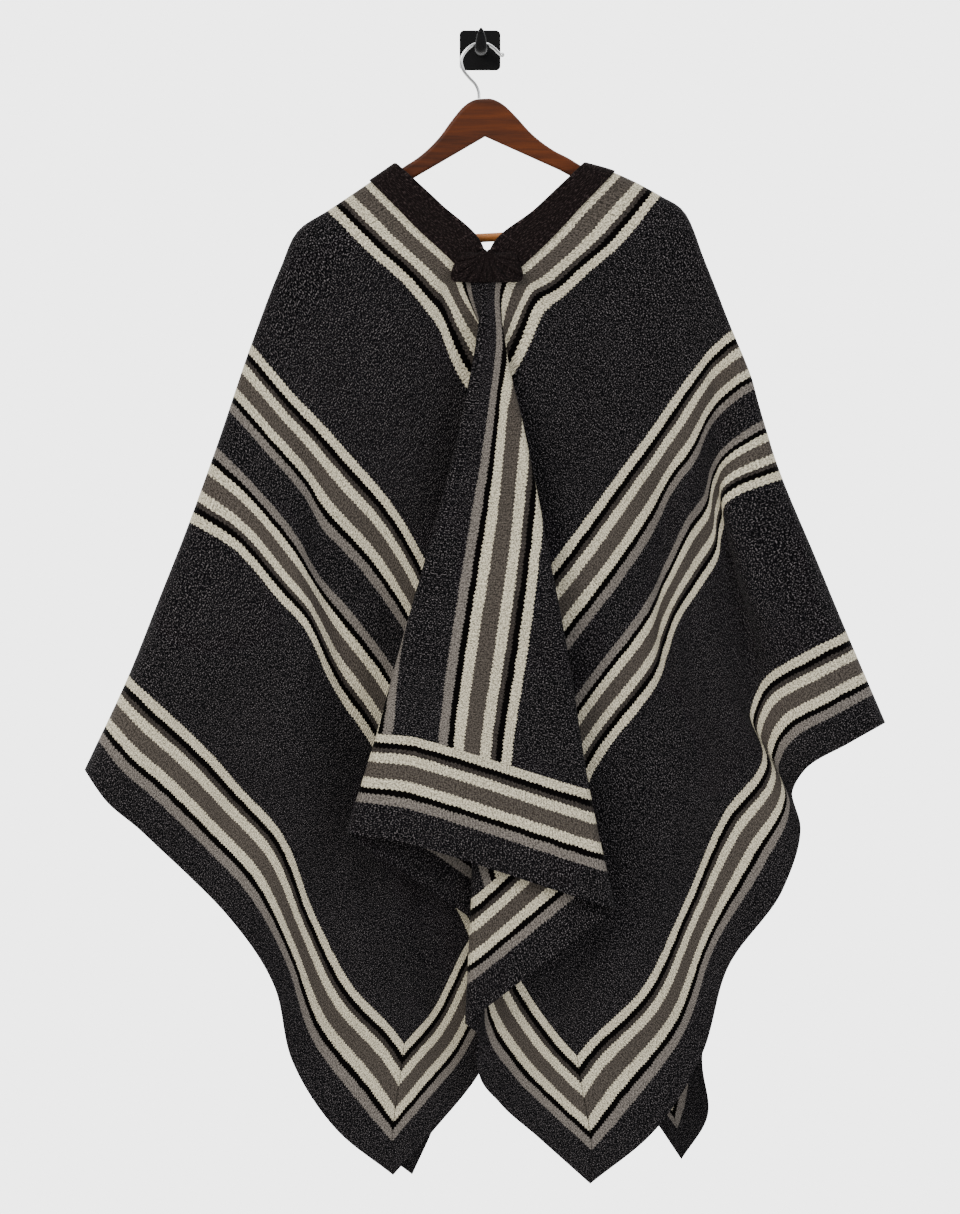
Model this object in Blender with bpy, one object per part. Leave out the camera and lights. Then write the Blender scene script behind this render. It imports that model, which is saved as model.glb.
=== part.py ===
"""Andean poncho hanging on a wooden hanger from a wall hook.

Two loom widths of striped wool are joined along the centre, with a slit left open for the neck.
The cloth is one surface, worked out from its sections: each section is a line of equal distance
from the shoulder fold, and lists where the warp lines and the folds cross it.
Metres, +Z up, front towards -Y. The origin is the centre of the wall plate's back face.
"""
import math

import bmesh
import bpy
import numpy as np
from mathutils import Matrix, Vector

# Driving dimensions, in metres
GRID = 0.00117              # one step of the drafting grid that the tables below are read on
HANGER_PLANE = 0.060        # from the wall to the middle of the hanger
HALF_WIDTH = 0.822          # centre line to side edge, laid flat
HALF_LENGTH = 0.864         # shoulder fold to hem, laid flat
BORDER = 0.122              # hem border, seam to edge
SLIT = 0.139                # shoulder fold to each end of the neck slit
COLLAR_WIDTH = 0.045
CLOTH = 0.0022              # cloth thickness
SEAM = 0.00030              # gap left where two pieces meet
SHOULDER_RADIUS = 0.022     # roundness of the shoulder fold
BELLY = 0.016               # how far the cloth swells below the shoulder
GATHER_RIM = 0.005          # thickness of the neck gather at its rim and in its middle
GATHER_MIDDLE = 0.009
GATHER_PLEAT = 0.0013       # height of its pleats
PLATE_WIDTH = 0.048
PLATE_HEIGHT = 0.047
PLATE_THICKNESS = 0.008
PLATE_CORNER = 0.0055
PLATE_BEVEL = 0.0012
WIRE_RADIUS = 0.0019
TIP_RADIUS = 0.0029         # ball at the hook's end
HANGER_THICKNESS = 0.014
HANGER_BEVEL = 0.003
HANGER_TILT = math.radians(3.0)
HANGER_CLEARANCE = 0.0012   # between the wood's top and the cloth that it carries
BAR_RADIUS = 0.0052

# The same sizes in millimetres, for the cloth's tables
LAST_WARP = 1000 * HALF_WIDTH
LAST_SECTION = 1000 * HALF_LENGTH
SEAM_SECTION = 1000 * (HALF_LENGTH - BORDER)
MITRE_WARP = 1000 * (HALF_WIDTH - BORDER)
SLIT_END = 1000 * SLIT
JOIN_END = 178              # the two halves are fully joined from this section on
CORNER_WARP = 3             # the border ends this far from the side edge
ROLL_END = 150              # section where the cloth has caught up after the round shoulder
FLATTEST = 0.75             # least sideways part of a run's direction where it meets a fold
STRAIGHT_RUN = 12           # plain cloth kept beside each fold
FREE = (math.nan, math.nan, math.nan)      # a guide point whose slope follows its neighbours

# Where each warp line (millimetres from the centre line) crosses each section (millimetres from the
# shoulder fold), in grid steps right of and below the wall hook. None: it lies inside a fold there.
WARPS = (0, 45, 109, 150, 200, 291, 419, 503, 600, 700, 822)
LEFT_SECTIONS = {
    0: ((-83, 116), (-109, 134), (-152, 163), (-181, 182), (-199, 220), (-228, 296), (-263, 399),
        (-290, 474), (-320, 550), (-351, 628), (-395, 722)),
    60: ((-40, 155), (-74, 169), (-117, 198), (-139, 230), (-163, 267), (-196, 335), (-227, 435),
         (-246, 501), (-284, 577), (-323, 654), (-374, 752)),
    139: ((4, 202), (-26, 216), (-68, 245), (-87, 275), (-112, 312), (-149, 385), (-184, 488),
          (-201, 552), (-243, 620), (-286, 688), (-339, 782)),
    178: (None, (-18, 240), (-47, 271), (-67, 304), (-90, 342), (-128, 409), (-169, 515),
          (-181, 574), (-225, 641), (-269, 705), (-322, 798)),
    250: (None, None, (-21, 328), (-35, 360), (-52, 397), (-88, 456), (-130, 562),
          (-152, 630), (-196, 684), (-239, 739), (-290, 828)),
    340: (None, None, None, None, (-10, 462), (-49, 524), (-84, 624),
          (-111, 693), (-155, 737), (-200, 782), (-252, 867)),
    480: (None, None, None, None, None, (2, 634), (-50, 720),
          (-75, 764), (-120, 812), (-168, 861), (-205, 937)),
    610: (None, None, None, None, None, None, (-8, 784),
          (-44, 824), (-87, 879), (-130, 934), (-187, 1014)),
    742: (None, None, None, None, None, None, (26, 853),
          (-10, 890), (-44, 957), (-76, 996), (-144, 1081)),
    864: (None, None, None, None, None, None, (43, 946),
          (20, 987), (-6, 1033), (-41, 1076), (-87, 1127)),
}
RIGHT_SECTIONS = {
    0: ((103, 116), (134, 125), (180, 148), (204, 164), (224, 212), (251, 282), (281, 372),
        (302, 431), (334, 507), (366, 584), (405, 675)),
    60: ((57, 159), (94, 166), (148, 188), (172, 208), (197, 242), (226, 306), (239, 404),
         (249, 454), (285, 532), (326, 604), (369, 695)),
    139: ((10, 202), (41, 220), (99, 234), (122, 258), (145, 290), (190, 354), (222, 449),
          (237, 512), (258, 576), (280, 637), (324, 722)),
    178: (None, (27, 237), (74, 255), (100, 282), (126, 314), (172, 380), (208, 467),
          (222, 537), (246, 604), (270, 664), (313, 741)),
    250: (None, None, (43, 310), (67, 337), (92, 369), (137, 427), (188, 512),
          (196, 577), (234, 649), (282, 711), (320, 785)),
    340: (None, None, None, None, (47, 434), (97, 482), (160, 562),
          (182, 627), (220, 697), (245, 763), (303, 841)),
    480: (None, None, None, None, None, None, (80, 672),
          (117, 717), (170, 790), (204, 854), (248, 919)),
    610: (None, None, None, None, None, None, (35, 767),
          (70, 820), (118, 882), (163, 938), (222, 1005)),
    742: (None, None, None, None, None, None, None,
          (26, 905), (60, 962), (97, 1007), (175, 1081)),
    864: (None, None, None, None, None, None, None,
          (-3, 1013), (20, 1054), (59, 1089), (110, 1135)),
}

# The centre pleat. The flap's outer fold and the hidden inner fold of each side: warp (mm), x, y.
# Depths are millimetres in front of the hanger, from the flap back to the left panel.
FOLDS = {
    # section: (centre), (left outer), (left inner), (right outer), (right inner)
    178: ((7, 236), (6, 2, 237), (40, -15, 239), (30, 18, 236), (62, 38, 242)),
    250: ((4, 288), (7, -2, 287), (60, 14, 302), (44, 26, 304), (80, 12, 327)),
    340: ((-9, 368), (11, -17, 367), (95, 42, 407), (73, 40, 367), (140, 9, 412)),
    480: ((-34, 490), (17, -47, 487), (177, 63, 537), (118, 65, 490), (262, 2, 572)),
    610: ((-53, 602), (30, -78, 597), (246, 75, 667), (162, 88, 612), (345, -6, 712)),
    742: ((-63, 689), (48, -102, 685), (305, 76, 802), (206, 108, 741), (400, -8, 850)),
    864: ((-75, 793), (60, -133, 784), (360, 60, 917), (232, 134, 860), (450, -14, 974)),
}
DEPTHS = {
    # section: flap, step into its fold, right under-fold, right panel, left under-fold, left panel
    178: (43, 0, 38, 35, 36, 33),
    250: (62, 9, 51, 43, 36, 28),
    340: (84, 12, 70, 57, 44, 30),
    480: (104, 16, 86, 70, 50, 30),
    610: (118, 19, 97, 78, 52, 30),
    742: (128, 21, 105, 84, 54, 30),
    864: (134, 22, 110, 88, 54, 30),
}

# Soft folds, each along a line on the flat cloth: side, warp and section of both ends, half width,
# height of the ridge, height of the step beyond it (all millimetres)
SOFT_FOLDS = (
    ("left", 270, 40, 822, 560, 46, 0, 34),
    ("left", 150, 150, 520, 700, 60, 12, 0),
    ("right", 250, 30, 840, 190, 44, -20, 20),
    ("right", 420, 300, 760, 800, 60, 20, 0),
)
# The back hangs in a plainer pleat: half width of its flap (grid steps) and depths behind the hanger
BACK_PLEAT = {
    # section: half width, flap, step into its fold, under-fold, panel
    178: (6, 37, 0, 35, 30),
    250: (18, 49, 9, 37, 27),
    340: (36, 48, 8, 38, 28),
    480: (62, 48, 8, 38, 28),
    610: (86, 48, 8, 38, 28),
    742: (108, 48, 8, 38, 28),
    864: (126, 48, 8, 38, 28),
}
# How far the back hem's corners stand from the front's, in grid steps, and the section where that starts
BACK_CORNERS = {"left": (19, 1, 300), "right": (92, -22, 590)}
BACK_COMING_FOLD = (26, 18, 3)     # the inner fold where it starts: its warp, x and y beyond the outer one
BACK_OUTER_DROP = 0.15             # how far both folds hang below the centre, for each step of half width
BACK_INNER_DROP = 0.5
BACK_INNER_FOLD = (3, 4)           # its warp short of twice the flap's, and its distance from the centre
BACK_FOLD_ROOM = 25                # least warp between the inner fold and the next table point
BACK_SOFTNESS = 0.3                # share of the front's soft folds that the back shows
# The left under-fold slips behind the right one: grid steps short of its fold, then depth behind its panel
SLIP_SIDE = 8
SLIP_DEPTH = 14
SLIP_SHARE = 0.85                  # most of the room between both panels that it takes
# A fold's guide point is left out where its neighbour is nearer than this many times its own run
ROOM_WIDE = 2.3
ROOM_NARROW = 1.3                  # the same where the neighbour is nearer than this (millimetres)
NARROW = 15
BACK_SPREAD = 0.25          # least run of the back panel away from its fold, grid steps per millimetre
BACK_FULLNESS = 5           # the back cloth's distance behind the shoulder's roundness, millimetres
CENTRE_X = 7                # the back's centre line, grid steps
# Depths at the neck slit, where the cloth has no fold yet, and where the folds' columns run there
NECK_DEPTHS = {0: 0, 60: 27, 139: 39}
BACK_NECK_DEPTH = 33
NECK_FOLD_WARPS = {"left": (8, 18), "right": (24, 33)}
# How far from the centre pleat its depth still lifts the cloth beside it, millimetres
PLEAT_REACH = {"left": 150, "right": 340, "neck": 150, "back": 150}

# The neck gather, a fan of small pleats: grid steps, and depths in millimetres
GATHER_CENTRE = (7, 207)
GATHER_REACH = (36, 27)     # half width, and height below the centre
GATHER_SQUARENESS = 3       # exponent of its outline
GATHER_SWEEP = math.radians(105)
GATHER_PLEATS = 11
GATHER_BACK = {"front": 43.1, "back": 37.0}     # depth of its flat back at the centre's height
GATHER_SLOPE = 0.06

# The hanger, on its own axes: grid steps right of and below its top, before it is tilted
HANGER_TOP = (3, 50)
HANGER_CROWN = ((0, 0), (8, 0.4), (19, 6), (32, 19.5), (45, 35.5), (57, 47), (69, 56), (82, 63.5))
HANGER_CARRIED = (97, 112, 128, 145, 162, 178, 188)        # distances where its top follows the cloth
HANGER_END = ((192, 136), (191, 143), (186, 147), (162, 147), (160, 145), (160, 130), (156, 125))
HANGER_UNDERSIDE = ((150, 121), (82, 81), (72, 75), (0, 38))
BAR_DROP = 139
BAR_REACH = 160
# The hanger's wire, from its ball tip over the wall hook down to the wood, in grid steps
HOOK_ROUTE = ((24.6, 6.8), (20, 5.0), (14.3, -0.3), (7.6, -4.6), (1, -5.8), (-6.2, -4.2), (-14, 1.5),
              (-18.8, 10.4), (-17, 20.7), (-10.7, 29.1), (-4.5, 35.9), (-1.6, 42.5), (-1, 49.8))
HOOK_X = 1
HOOK_SIDES = 16
CORNER_STEPS = 4
# The wall hook's tongue from the plate to its tip: distance from the wall, height, half width, half thickness
WALL_HOOK = (
    (0.0083, -0.0014, 0.0066, 0.0055), (0.0300, -0.0018, 0.0064, 0.0052), (0.0500, -0.0012, 0.0070, 0.0052),
    (0.0600, -0.0007, 0.0073, 0.0050), (0.0668, 0.0015, 0.0072, 0.0047), (0.0702, 0.0064, 0.0067, 0.0044),
    (0.0718, 0.0122, 0.0057, 0.0041), (0.0733, 0.0178, 0.0043, 0.0035), (0.0741, 0.0218, 0.0030, 0.0027),
    (0.0745, 0.0243, 0.0011, 0.0010),
)


def smooth(value):
    value = np.clip(value, 0.0, 1.0)
    return value * value * (3 - 2 * value)


def spline(knots, points, where, given=None):
    """A curve through points at uneven knots. Slopes come from the neighbours where none is given."""
    steps = np.diff(knots)
    slopes = np.diff(points, axis=0) / steps[:, None]
    tangents = np.vstack((slopes[:1], slopes))
    before = steps[:-1, None]
    after = steps[1:, None]
    tangents[1:-1] = (slopes[:-1] * after + slopes[1:] * before) / (before + after)
    if given is not None:
        tangents = np.where(np.isnan(given), tangents, given)
    where = np.clip(where, knots[0], knots[-1])
    cell = min(int(np.searchsorted(knots, where, side="right")) - 1, len(steps) - 1)
    t = (where - knots[cell]) / steps[cell]
    a = points[cell] * (1 + 2 * t) * (1 - t) ** 2 + points[cell + 1] * t * t * (3 - 2 * t)
    b = tangents[cell] * t * (1 - t) ** 2 - tangents[cell + 1] * t * t * (1 - t)
    return a + b * steps[cell]


def base_depth(section):
    """Depth of the plain front cloth in front of the hanger, without the shoulder's roundness."""
    return 1000 * BELLY * math.sin(math.pi * min(abs(section), 900) / 1000)


def shoulder_roll(section):
    """The shoulder's round fold: a quarter turn from the ridge, the same length as the cloth."""
    radius = 1000 * SHOULDER_RADIUS
    return radius * math.sin(min(abs(section) / radius, math.pi / 2))


def along_section(section):
    """Place along a section line: it lags while the cloth rolls over the shoulder, then catches up."""
    radius = 1000 * SHOULDER_RADIUS
    quarter = radius * math.pi / 2
    near = abs(section)
    if near < quarter:
        place = radius * (1 - math.cos(near / radius))
    elif near < ROLL_END:
        place = radius + (near - quarter) * (ROLL_END - radius) / (ROLL_END - quarter)
    else:
        place = near
    return math.copysign(place, section)


def soft_folds(side, warp, section):
    total = 0.0
    for fold_side, warp_a, section_a, warp_b, section_b, half_width, ridge, step in SOFT_FOLDS:
        if fold_side != side:
            continue
        along = Vector((warp_b - warp_a, section_b - section_a))
        length = along.length
        along.normalize()
        offset = Vector((warp - warp_a, section - section_a))
        travel = offset.dot(along) / length
        across = (offset.x * -along.y + offset.y * along.x) / half_width
        fade = float(smooth(travel * 2.0) * smooth((1.25 - travel) * 3.0))
        total += ridge * fade * math.exp(-across * across)
        total += step * fade * 0.5 * (1 - math.tanh(across))
    return total * float(smooth(abs(section) / 60))


def rounded_fold(fold, depth_in, depth_out, before, after):
    """Guide points that turn the cloth round half a circle at a fold, between two straight runs."""
    warp, x, y = fold
    radius = abs(depth_out - depth_in) / 2
    sink = math.copysign(1, depth_out - depth_in)
    points = [(warp, x, y, (depth_in + depth_out) / 2, 0, 0, sink)]
    inward = math.copysign(1, before[1] + after[1] - 2 * x)
    for neighbour, depth, side in ((before, depth_in, -1), (after, depth_out, 1)):
        chord = Vector((neighbour[1] - x, neighbour[2] - y))
        toward = chord.normalized()
        if toward.x * inward < FLATTEST:
            # A run nearly along the fold still leaves it sideways, or the turn would be too tight.
            toward = Vector((inward * FLATTEST, math.copysign(math.sqrt(1 - FLATTEST ** 2), toward.y)))
        reach = radius / abs(toward.x)
        turn = math.pi / 4 * (radius + reach)
        room = abs(neighbour[0] - warp)
        speed = toward * side / (1000 * GRID)
        bend = (toward + chord.normalized()).normalized() * side * chord.length / room
        for run, slopes in ((0, (*speed, 0)), (STRAIGHT_RUN, (*bend, math.nan))):
            if room < (ROOM_WIDE if room > NARROW else ROOM_NARROW) * (turn + run):
                continue
            travel = toward * (reach + run) / (1000 * GRID)
            point = (warp + side * (turn + run), x + travel.x, y + travel.y, depth, *slopes)
            points.insert(0 if side < 0 else len(points), point)
    return points


def pleat_start(outer, inner, flap, under, near):
    """Guide points at the pleat's top, where each coming fold is only a low slope."""
    far = [2 * last - first for first, last in zip(outer, inner)]
    return [(*outer, flap, *FREE), (*inner, (under + near) / 2, *FREE), (*far, near, *FREE)]


def front_row(side, section):
    """Guide points of one front section, from the centre outwards: warp, x, y, depth and slopes."""
    table = LEFT_SECTIONS if side == "left" else RIGHT_SECTIONS
    base = 1000 * SHOULDER_RADIUS + base_depth(section)
    row = []
    least = 0
    if section in FOLDS:
        least = FOLDS[section][2 if side == "left" else 4][0] + 20
    warps = [(warp, *cell) for warp, cell in zip(WARPS, table[section]) if cell and warp >= least]
    if section in NECK_DEPTHS:
        near, reach, start = NECK_DEPTHS[section], PLEAT_REACH["neck"], 0
        base = base if section else 0
    else:
        flap, fold, right_under, right_panel, left_under, left_panel = DEPTHS[section]
        centre, left_outer, left_inner, right_outer, right_inner = FOLDS[section]
        outer, inner = (left_outer, left_inner) if side == "left" else (right_outer, right_inner)
        under, near = (left_under, left_panel) if side == "left" else (right_under, right_panel)
        reach, start = PLEAT_REACH[side], inner[0]
        # Both halves leave the centre line along the same straight run, so they meet smoothly.
        run = (Vector(right_outer[1:]) - Vector(left_outer[1:])) / (left_outer[0] + right_outer[0])
        run *= -1 if side == "left" else 1
        row.append((0, *centre, flap, *run, 0))
        first = warps[0]
        if not fold:
            row += pleat_start(outer, inner, flap, under, near)
        elif side == "left":
            # The left under-fold slips behind the right one before it turns.
            slip = (right_inner[1] - SLIP_SIDE - outer[1]) / (inner[1] - outer[1])
            middle = [outer[i] + (inner[i] - outer[i]) * slip for i in range(3)]
            depth = right_panel - min(SLIP_DEPTH, SLIP_SHARE * (right_panel - left_under))
            drop = flap - fold / 2 - depth
            runs = [math.hypot(share * (inner[1] - outer[1]), share * (inner[2] - outer[2]))
                    for share in (slip, 1 - slip)]
            first_run = math.hypot(runs[0] * 1000 * GRID, drop)
            middle[0] = outer[0] + (inner[0] - outer[0]) * first_run / (first_run + runs[1] * 1000 * GRID)
            row += rounded_fold(outer, flap, flap - fold, (0, *centre), middle)
            row.append((*middle, depth, math.nan, math.nan, 0))
            row += rounded_fold(inner, under, near, middle, first)
        else:
            row += rounded_fold(outer, flap, flap - fold, (0, *centre), inner)
            row += rounded_fold(inner, under, near, outer, first)
    for warp, x, y in warps:
        share = math.exp(-((warp - start) / reach) ** 2)
        depth = base + (near - base) * share + soft_folds(side, warp, section)
        row.append((warp, x, y, depth, *FREE))
    return row


def back_folds(side, section):
    """The back pleat's outer and inner fold on one side: warp, x, y."""
    sign = -1 if side == "left" else 1
    half, _, fold, _, _ = BACK_PLEAT[section]
    middle_y = FOLDS[section][0][1]
    step = 1000 * GRID
    if not fold:
        run, aside, down = BACK_COMING_FOLD
        return ((half * step, CENTRE_X + sign * half, middle_y),
                (half * step + run, CENTRE_X + sign * (half + aside), middle_y + down))
    outer = (half * step, CENTRE_X + sign * half, middle_y + BACK_OUTER_DROP * half)
    short, aside = BACK_INNER_FOLD
    return outer, (2 * half * step - short, CENTRE_X + sign * aside, middle_y + BACK_INNER_DROP * half)


def back_row(side, section):
    """Guide points of one back section; depth is negative, towards the wall."""
    sign = -1 if side == "left" else 1
    table = LEFT_SECTIONS if side == "left" else RIGHT_SECTIONS
    corner_x, corner_y, corner_start = BACK_CORNERS[side]
    row = []
    start = 0
    near = min(NECK_DEPTHS.get(section, 0), BACK_NECK_DEPTH)
    cells = [(warp, *cell) for warp, cell in zip(WARPS, table[section]) if cell]
    if section not in NECK_DEPTHS:
        half, flap, fold, under, near = BACK_PLEAT[section]
        outer, inner = back_folds(side, section)
        start = inner[0]
        cells = [cell for cell in cells if cell[0] > start + BACK_FOLD_ROOM]
        # Both halves stay on their own side of the centre, and reach the side edge as in front.
        first_warp, first_x = cells[0][:2]
        least = BACK_INNER_FOLD[1] + BACK_SPREAD * (first_warp - start)
        short = max(0, least - sign * (first_x - CENTRE_X))
        cells = [(warp, x + sign * short * (LAST_WARP - warp) / (LAST_WARP - first_warp), y)
                 for warp, x, y in cells]
        centre = (0, CENTRE_X, FOLDS[section][0][1])
        row.append((*centre, flap, sign / (1000 * GRID), 0, 0))
        if fold:
            row += rounded_fold(outer, flap, flap - fold, centre, inner)
            row += rounded_fold(inner, under, near, outer, cells[0])
        else:
            row += pleat_start(outer, inner, flap, under, near)
    plain = 1000 * SHOULDER_RADIUS + BACK_FULLNESS if section else 0
    for warp, x, y in cells:
        pull = smooth((section - corner_start) / (LAST_SECTION - corner_start)) * smooth(warp / LAST_WARP)
        share = math.exp(-((warp - start) / PLEAT_REACH["back"]) ** 2)
        depth = plain + (near - plain) * share + BACK_SOFTNESS * soft_folds(side, warp, section)
        row.append((warp, x + corner_x * float(pull), y + corner_y * float(pull), depth, *FREE))
    return [(warp, x, y, -depth, dx, dy, -sink) for warp, x, y, depth, dx, dy, sink in row]


class Half:
    """One loom width, front and back, as a surface over column and section."""

    def __init__(self, side):
        self.side = side
        self.sign = -1 if side == "left" else 1
        sections = sorted(LEFT_SECTIONS)
        self.sections = [-s for s in reversed(sections) if s] + sections
        self.rows = []
        self.marks = []
        self.known = {}
        for section in self.sections:
            row = back_row(side, -section) if section < 0 else front_row(side, section)
            row = np.array(row, float)
            row[:, 3] -= math.copysign(shoulder_roll(section), section)
            self.rows.append(row)
            self.marks.append(self.fold_warps(section))
        self.marks = np.array(self.marks, float)

    def fold_warps(self, section):
        if abs(section) in NECK_DEPTHS:
            outer, inner = NECK_FOLD_WARPS[self.side]
        elif section < 0:
            outer, inner = [fold[0] for fold in back_folds(self.side, -section)]
        else:
            folds = FOLDS[section][1:3] if self.side == "left" else FOLDS[section][3:5]
            outer, inner = folds[0][0], folds[1][0]
        return (0, outer, inner, 503, MITRE_WARP, LAST_WARP)

    def warp(self, column, section):
        """Warp at a column: columns 1 and 2 run along the outer and inner folds."""
        cell = min(int(column), 4)
        marks = spline(self.sections, self.marks, section)
        return marks[cell] + (column - cell) * (marks[cell + 1] - marks[cell])

    def column(self, warp, section):
        """Column at a warp, the other way round."""
        return float(np.interp(warp, spline(self.sections, self.marks, section), range(6)))

    def guides(self, column):
        """Where a column crosses every section."""
        column = round(column, 6)
        if column not in self.known:
            cell = min(int(column), 4)
            guides = []
            for marks, row in zip(self.marks, self.rows):
                warp = marks[cell] + (column - cell) * (marks[cell + 1] - marks[cell])
                guides.append(spline(row[:, 0], row[:, 1:4], warp, row[:, 4:]))
            self.known[column] = np.array(guides)
        return self.known[column]

    def point(self, column, section):
        """World position of the middle of the cloth."""
        x, y, depth = spline(self.sections, self.guides(column), along_section(section))
        depth += math.copysign(shoulder_roll(section), section)
        return np.array((x * GRID, -HANGER_PLANE - depth / 1000, -y * GRID))

    def normal(self, column, section):
        """Outward unit normal, from the cloth's run along both directions."""
        low, high = max(column - 0.004, 0), min(column + 0.004, 5)
        across = self.point(high, section) - self.point(low, section)
        low, high = max(section - 1.5, -LAST_SECTION), min(section + 1.5, LAST_SECTION)
        down = self.point(column, high) - self.point(column, low)
        normal = np.cross(across, down) * -self.sign
        return normal / np.linalg.norm(normal)


def clear_scene():
    for item in list(bpy.data.objects):
        bpy.data.objects.remove(item, do_unlink=True)


def make_material(name, color, roughness, metallic=0.0):
    material = bpy.data.materials.new(name)
    material.use_nodes = True
    shader = material.node_tree.nodes["Principled BSDF"]
    shader.inputs["Base Color"].default_value = (*color, 1.0)
    shader.inputs["Roughness"].default_value = roughness
    shader.inputs["Metallic"].default_value = metallic
    material.diffuse_color = (*color, 1.0)
    return material


def add_node(name, shape, material):
    """Turn a bmesh into one named object."""
    mesh = bpy.data.meshes.new(name)
    shape.to_mesh(mesh)
    shape.free()
    mesh.shade_smooth()
    mesh.set_sharp_from_angle(angle=math.radians(40))
    mesh.materials.append(material)
    node = bpy.data.objects.new(name, mesh)
    bpy.context.scene.collection.objects.link(node)
    return node


def closed_sheet(front, back):
    """A closed body between two grids of points."""
    shape = bmesh.new()
    front, back = [[[shape.verts.new(Vector(point)) for point in row] for row in grid]
                   for grid in (front, back)]
    rows, columns = len(front), len(front[0])
    for r in range(rows - 1):
        for c in range(columns - 1):
            shape.faces.new((front[r][c], front[r][c + 1], front[r + 1][c + 1], front[r + 1][c]))
            shape.faces.new((back[r][c], back[r + 1][c], back[r + 1][c + 1], back[r][c + 1]))
    rim = [(0, c) for c in range(columns)] + [(r, columns - 1) for r in range(1, rows)]
    rim += [(rows - 1, c) for c in range(columns - 2, -1, -1)] + [(r, 0) for r in range(rows - 2, 0, -1)]
    for (r, c), (r2, c2) in zip(rim, rim[1:] + rim[:1]):
        shape.faces.new((front[r2][c2], front[r][c], back[r][c], back[r2][c2]))
    if shape.calc_volume(signed=True) < 0:
        bmesh.ops.reverse_faces(shape, faces=shape.faces)
    return shape


def wall(points, normals, lift=0.0):
    """A closed wall of cloth round a grid of middle points, or round them moved out."""
    return closed_sheet(*[[[point + normal * (lift + side * CLOTH / 2) for point, normal in zip(row, slopes)]
                           for row, slopes in zip(points, normals)] for side in (1, -1)])


def skin(rings):
    """A closed body through rings of equally many points, with flat ends."""
    shape = bmesh.new()
    loops = [[shape.verts.new(Vector(point)) for point in ring] for ring in rings]
    for ring, after in zip(loops, loops[1:]):
        for i, j in zip(range(-1, len(ring) - 1), range(len(ring))):
            shape.faces.new((ring[i], ring[j], after[j], after[i]))
    shape.faces.new(loops[0])
    shape.faces.new(loops[-1])
    bmesh.ops.recalc_face_normals(shape, faces=shape.faces)
    return shape


def slab(outline, back, front, bevel, both_sides):
    """A board with an outline in x and z, its front edge bevelled, and its back edge too if asked."""
    shape = bmesh.new()
    face = shape.faces.new([shape.verts.new((x, back, z)) for x, z in outline])
    edges = list(face.edges) if both_sides else []
    top = bmesh.ops.extrude_face_region(shape, geom=[face], use_keep_orig=True)["geom"]
    bmesh.ops.translate(shape, vec=(0, front - back, 0),
                        verts=[item for item in top if isinstance(item, bmesh.types.BMVert)])
    edges += [item for item in top if isinstance(item, bmesh.types.BMEdge)]
    bmesh.ops.recalc_face_normals(shape, faces=shape.faces)
    bmesh.ops.bevel(shape, geom=edges, affect="EDGES", offset=bevel, segments=2, profile=0.5, material=-1)
    return shape


def column_places(coarse):
    """Columns of the mesh: close together round both folds and the shoulder's knee, even elsewhere."""
    places = [0.0, 0.45, 0.8, 0.94, 1.0, 1.04, 1.09, 1.18, 1.4, 1.6, 1.8]
    places += [1.89, 1.945, 1.98, 2.0, 2.02, 2.06, 2.13, 2.22, 2.32, 2.45, 2.65, 2.83]
    spread = 3 if coarse else 4
    places += [3 + i / spread for i in range(2 * spread)]
    return places + [5 - CORNER_WARP / (LAST_WARP - MITRE_WARP), 5]


def section_places(coarse):
    """Sections of the mesh from the shoulder fold to the border seam."""
    places = [0, 9, 20, 34, 60, 95, SLIT_END, JOIN_END, 196, 208, 217, 226, 234, 242, 250, 266]
    count = 6 if coarse else 9
    places += [266 + (SEAM_SECTION - 266) * i / count for i in range(1, count + 1)]
    return [place / SEAM_SECTION for place in places]


def centre_edge(halves, side, section):
    """Point and normal at the centre line, half a seam's width into one side where the two join."""
    own = halves[side]
    other = halves["right" if side == "left" else "left"]
    joined = float(smooth((abs(section) - SLIT_END) / (JOIN_END - SLIT_END)))
    points = [own.point(0, section), other.point(0, section)]
    normals = [own.normal(0, section), other.normal(0, section)]
    point = points[0] + (points[1] - points[0]) * joined / 2
    normal = normals[0] * (2 - joined) + normals[1] * joined
    normal /= np.linalg.norm(normal)
    down = sum(half.point(0, section + 1) - half.point(0, section - 1) for half in (own, other))
    aside = np.cross(normal, down) * own.sign
    return point + aside / np.linalg.norm(aside) * SEAM * 0.6 * joined, normal


def seam_section(half, column):
    """Where the border's seam crosses a column: it runs out to the corner along the mitre."""
    warp = LAST_WARP if column >= 5 else half.warp(column, SEAM_SECTION)
    return SEAM_SECTION + max(0.0, warp - MITRE_WARP)


def cloth_grid(halves, side, columns, shares, back):
    """Points and normals of a panel or border. shares: sections worked out from the seam's."""
    half = halves[side]
    facing = -1 if back else 1
    points, normals = [], []
    for share, gap in shares:
        points.append([])
        normals.append([])
        for column in columns:
            section = facing * share(seam_section(half, column))
            if column:
                point, normal = half.point(column, section), half.normal(column, section)
            else:
                point, normal = centre_edge(halves, side, section)
            if gap:
                # Half the seam's gap, squarely across the seam.
                near, far = max(column - 0.01, 0), min(column + 0.01, 5)
                along = (half.point(far, facing * share(seam_section(half, far)))
                         - half.point(near, facing * share(seam_section(half, near))))
                down = np.cross(along, normal) * half.sign * facing
                point = point + down / np.linalg.norm(down) * gap
            points[-1].append(point)
            normals[-1].append(normal)
    return points, normals


def make_panel(halves, side, back, material):
    """One quarter of the cloth, from the shoulder fold to the border's seam."""
    def share_at(place):
        return lambda seam: place * seam

    places = section_places(back)
    shares = [(share_at(place), 0) for place in places[1:-1]]
    shares = [(share_at(0), SEAM / 2)] + shares + [(share_at(1), -SEAM)]
    points, normals = cloth_grid(halves, side, column_places(back), shares, back)
    name = f"panel_{'back' if back else 'front'}_{side}"
    return add_node(name, wall(points, normals), material)


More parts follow.
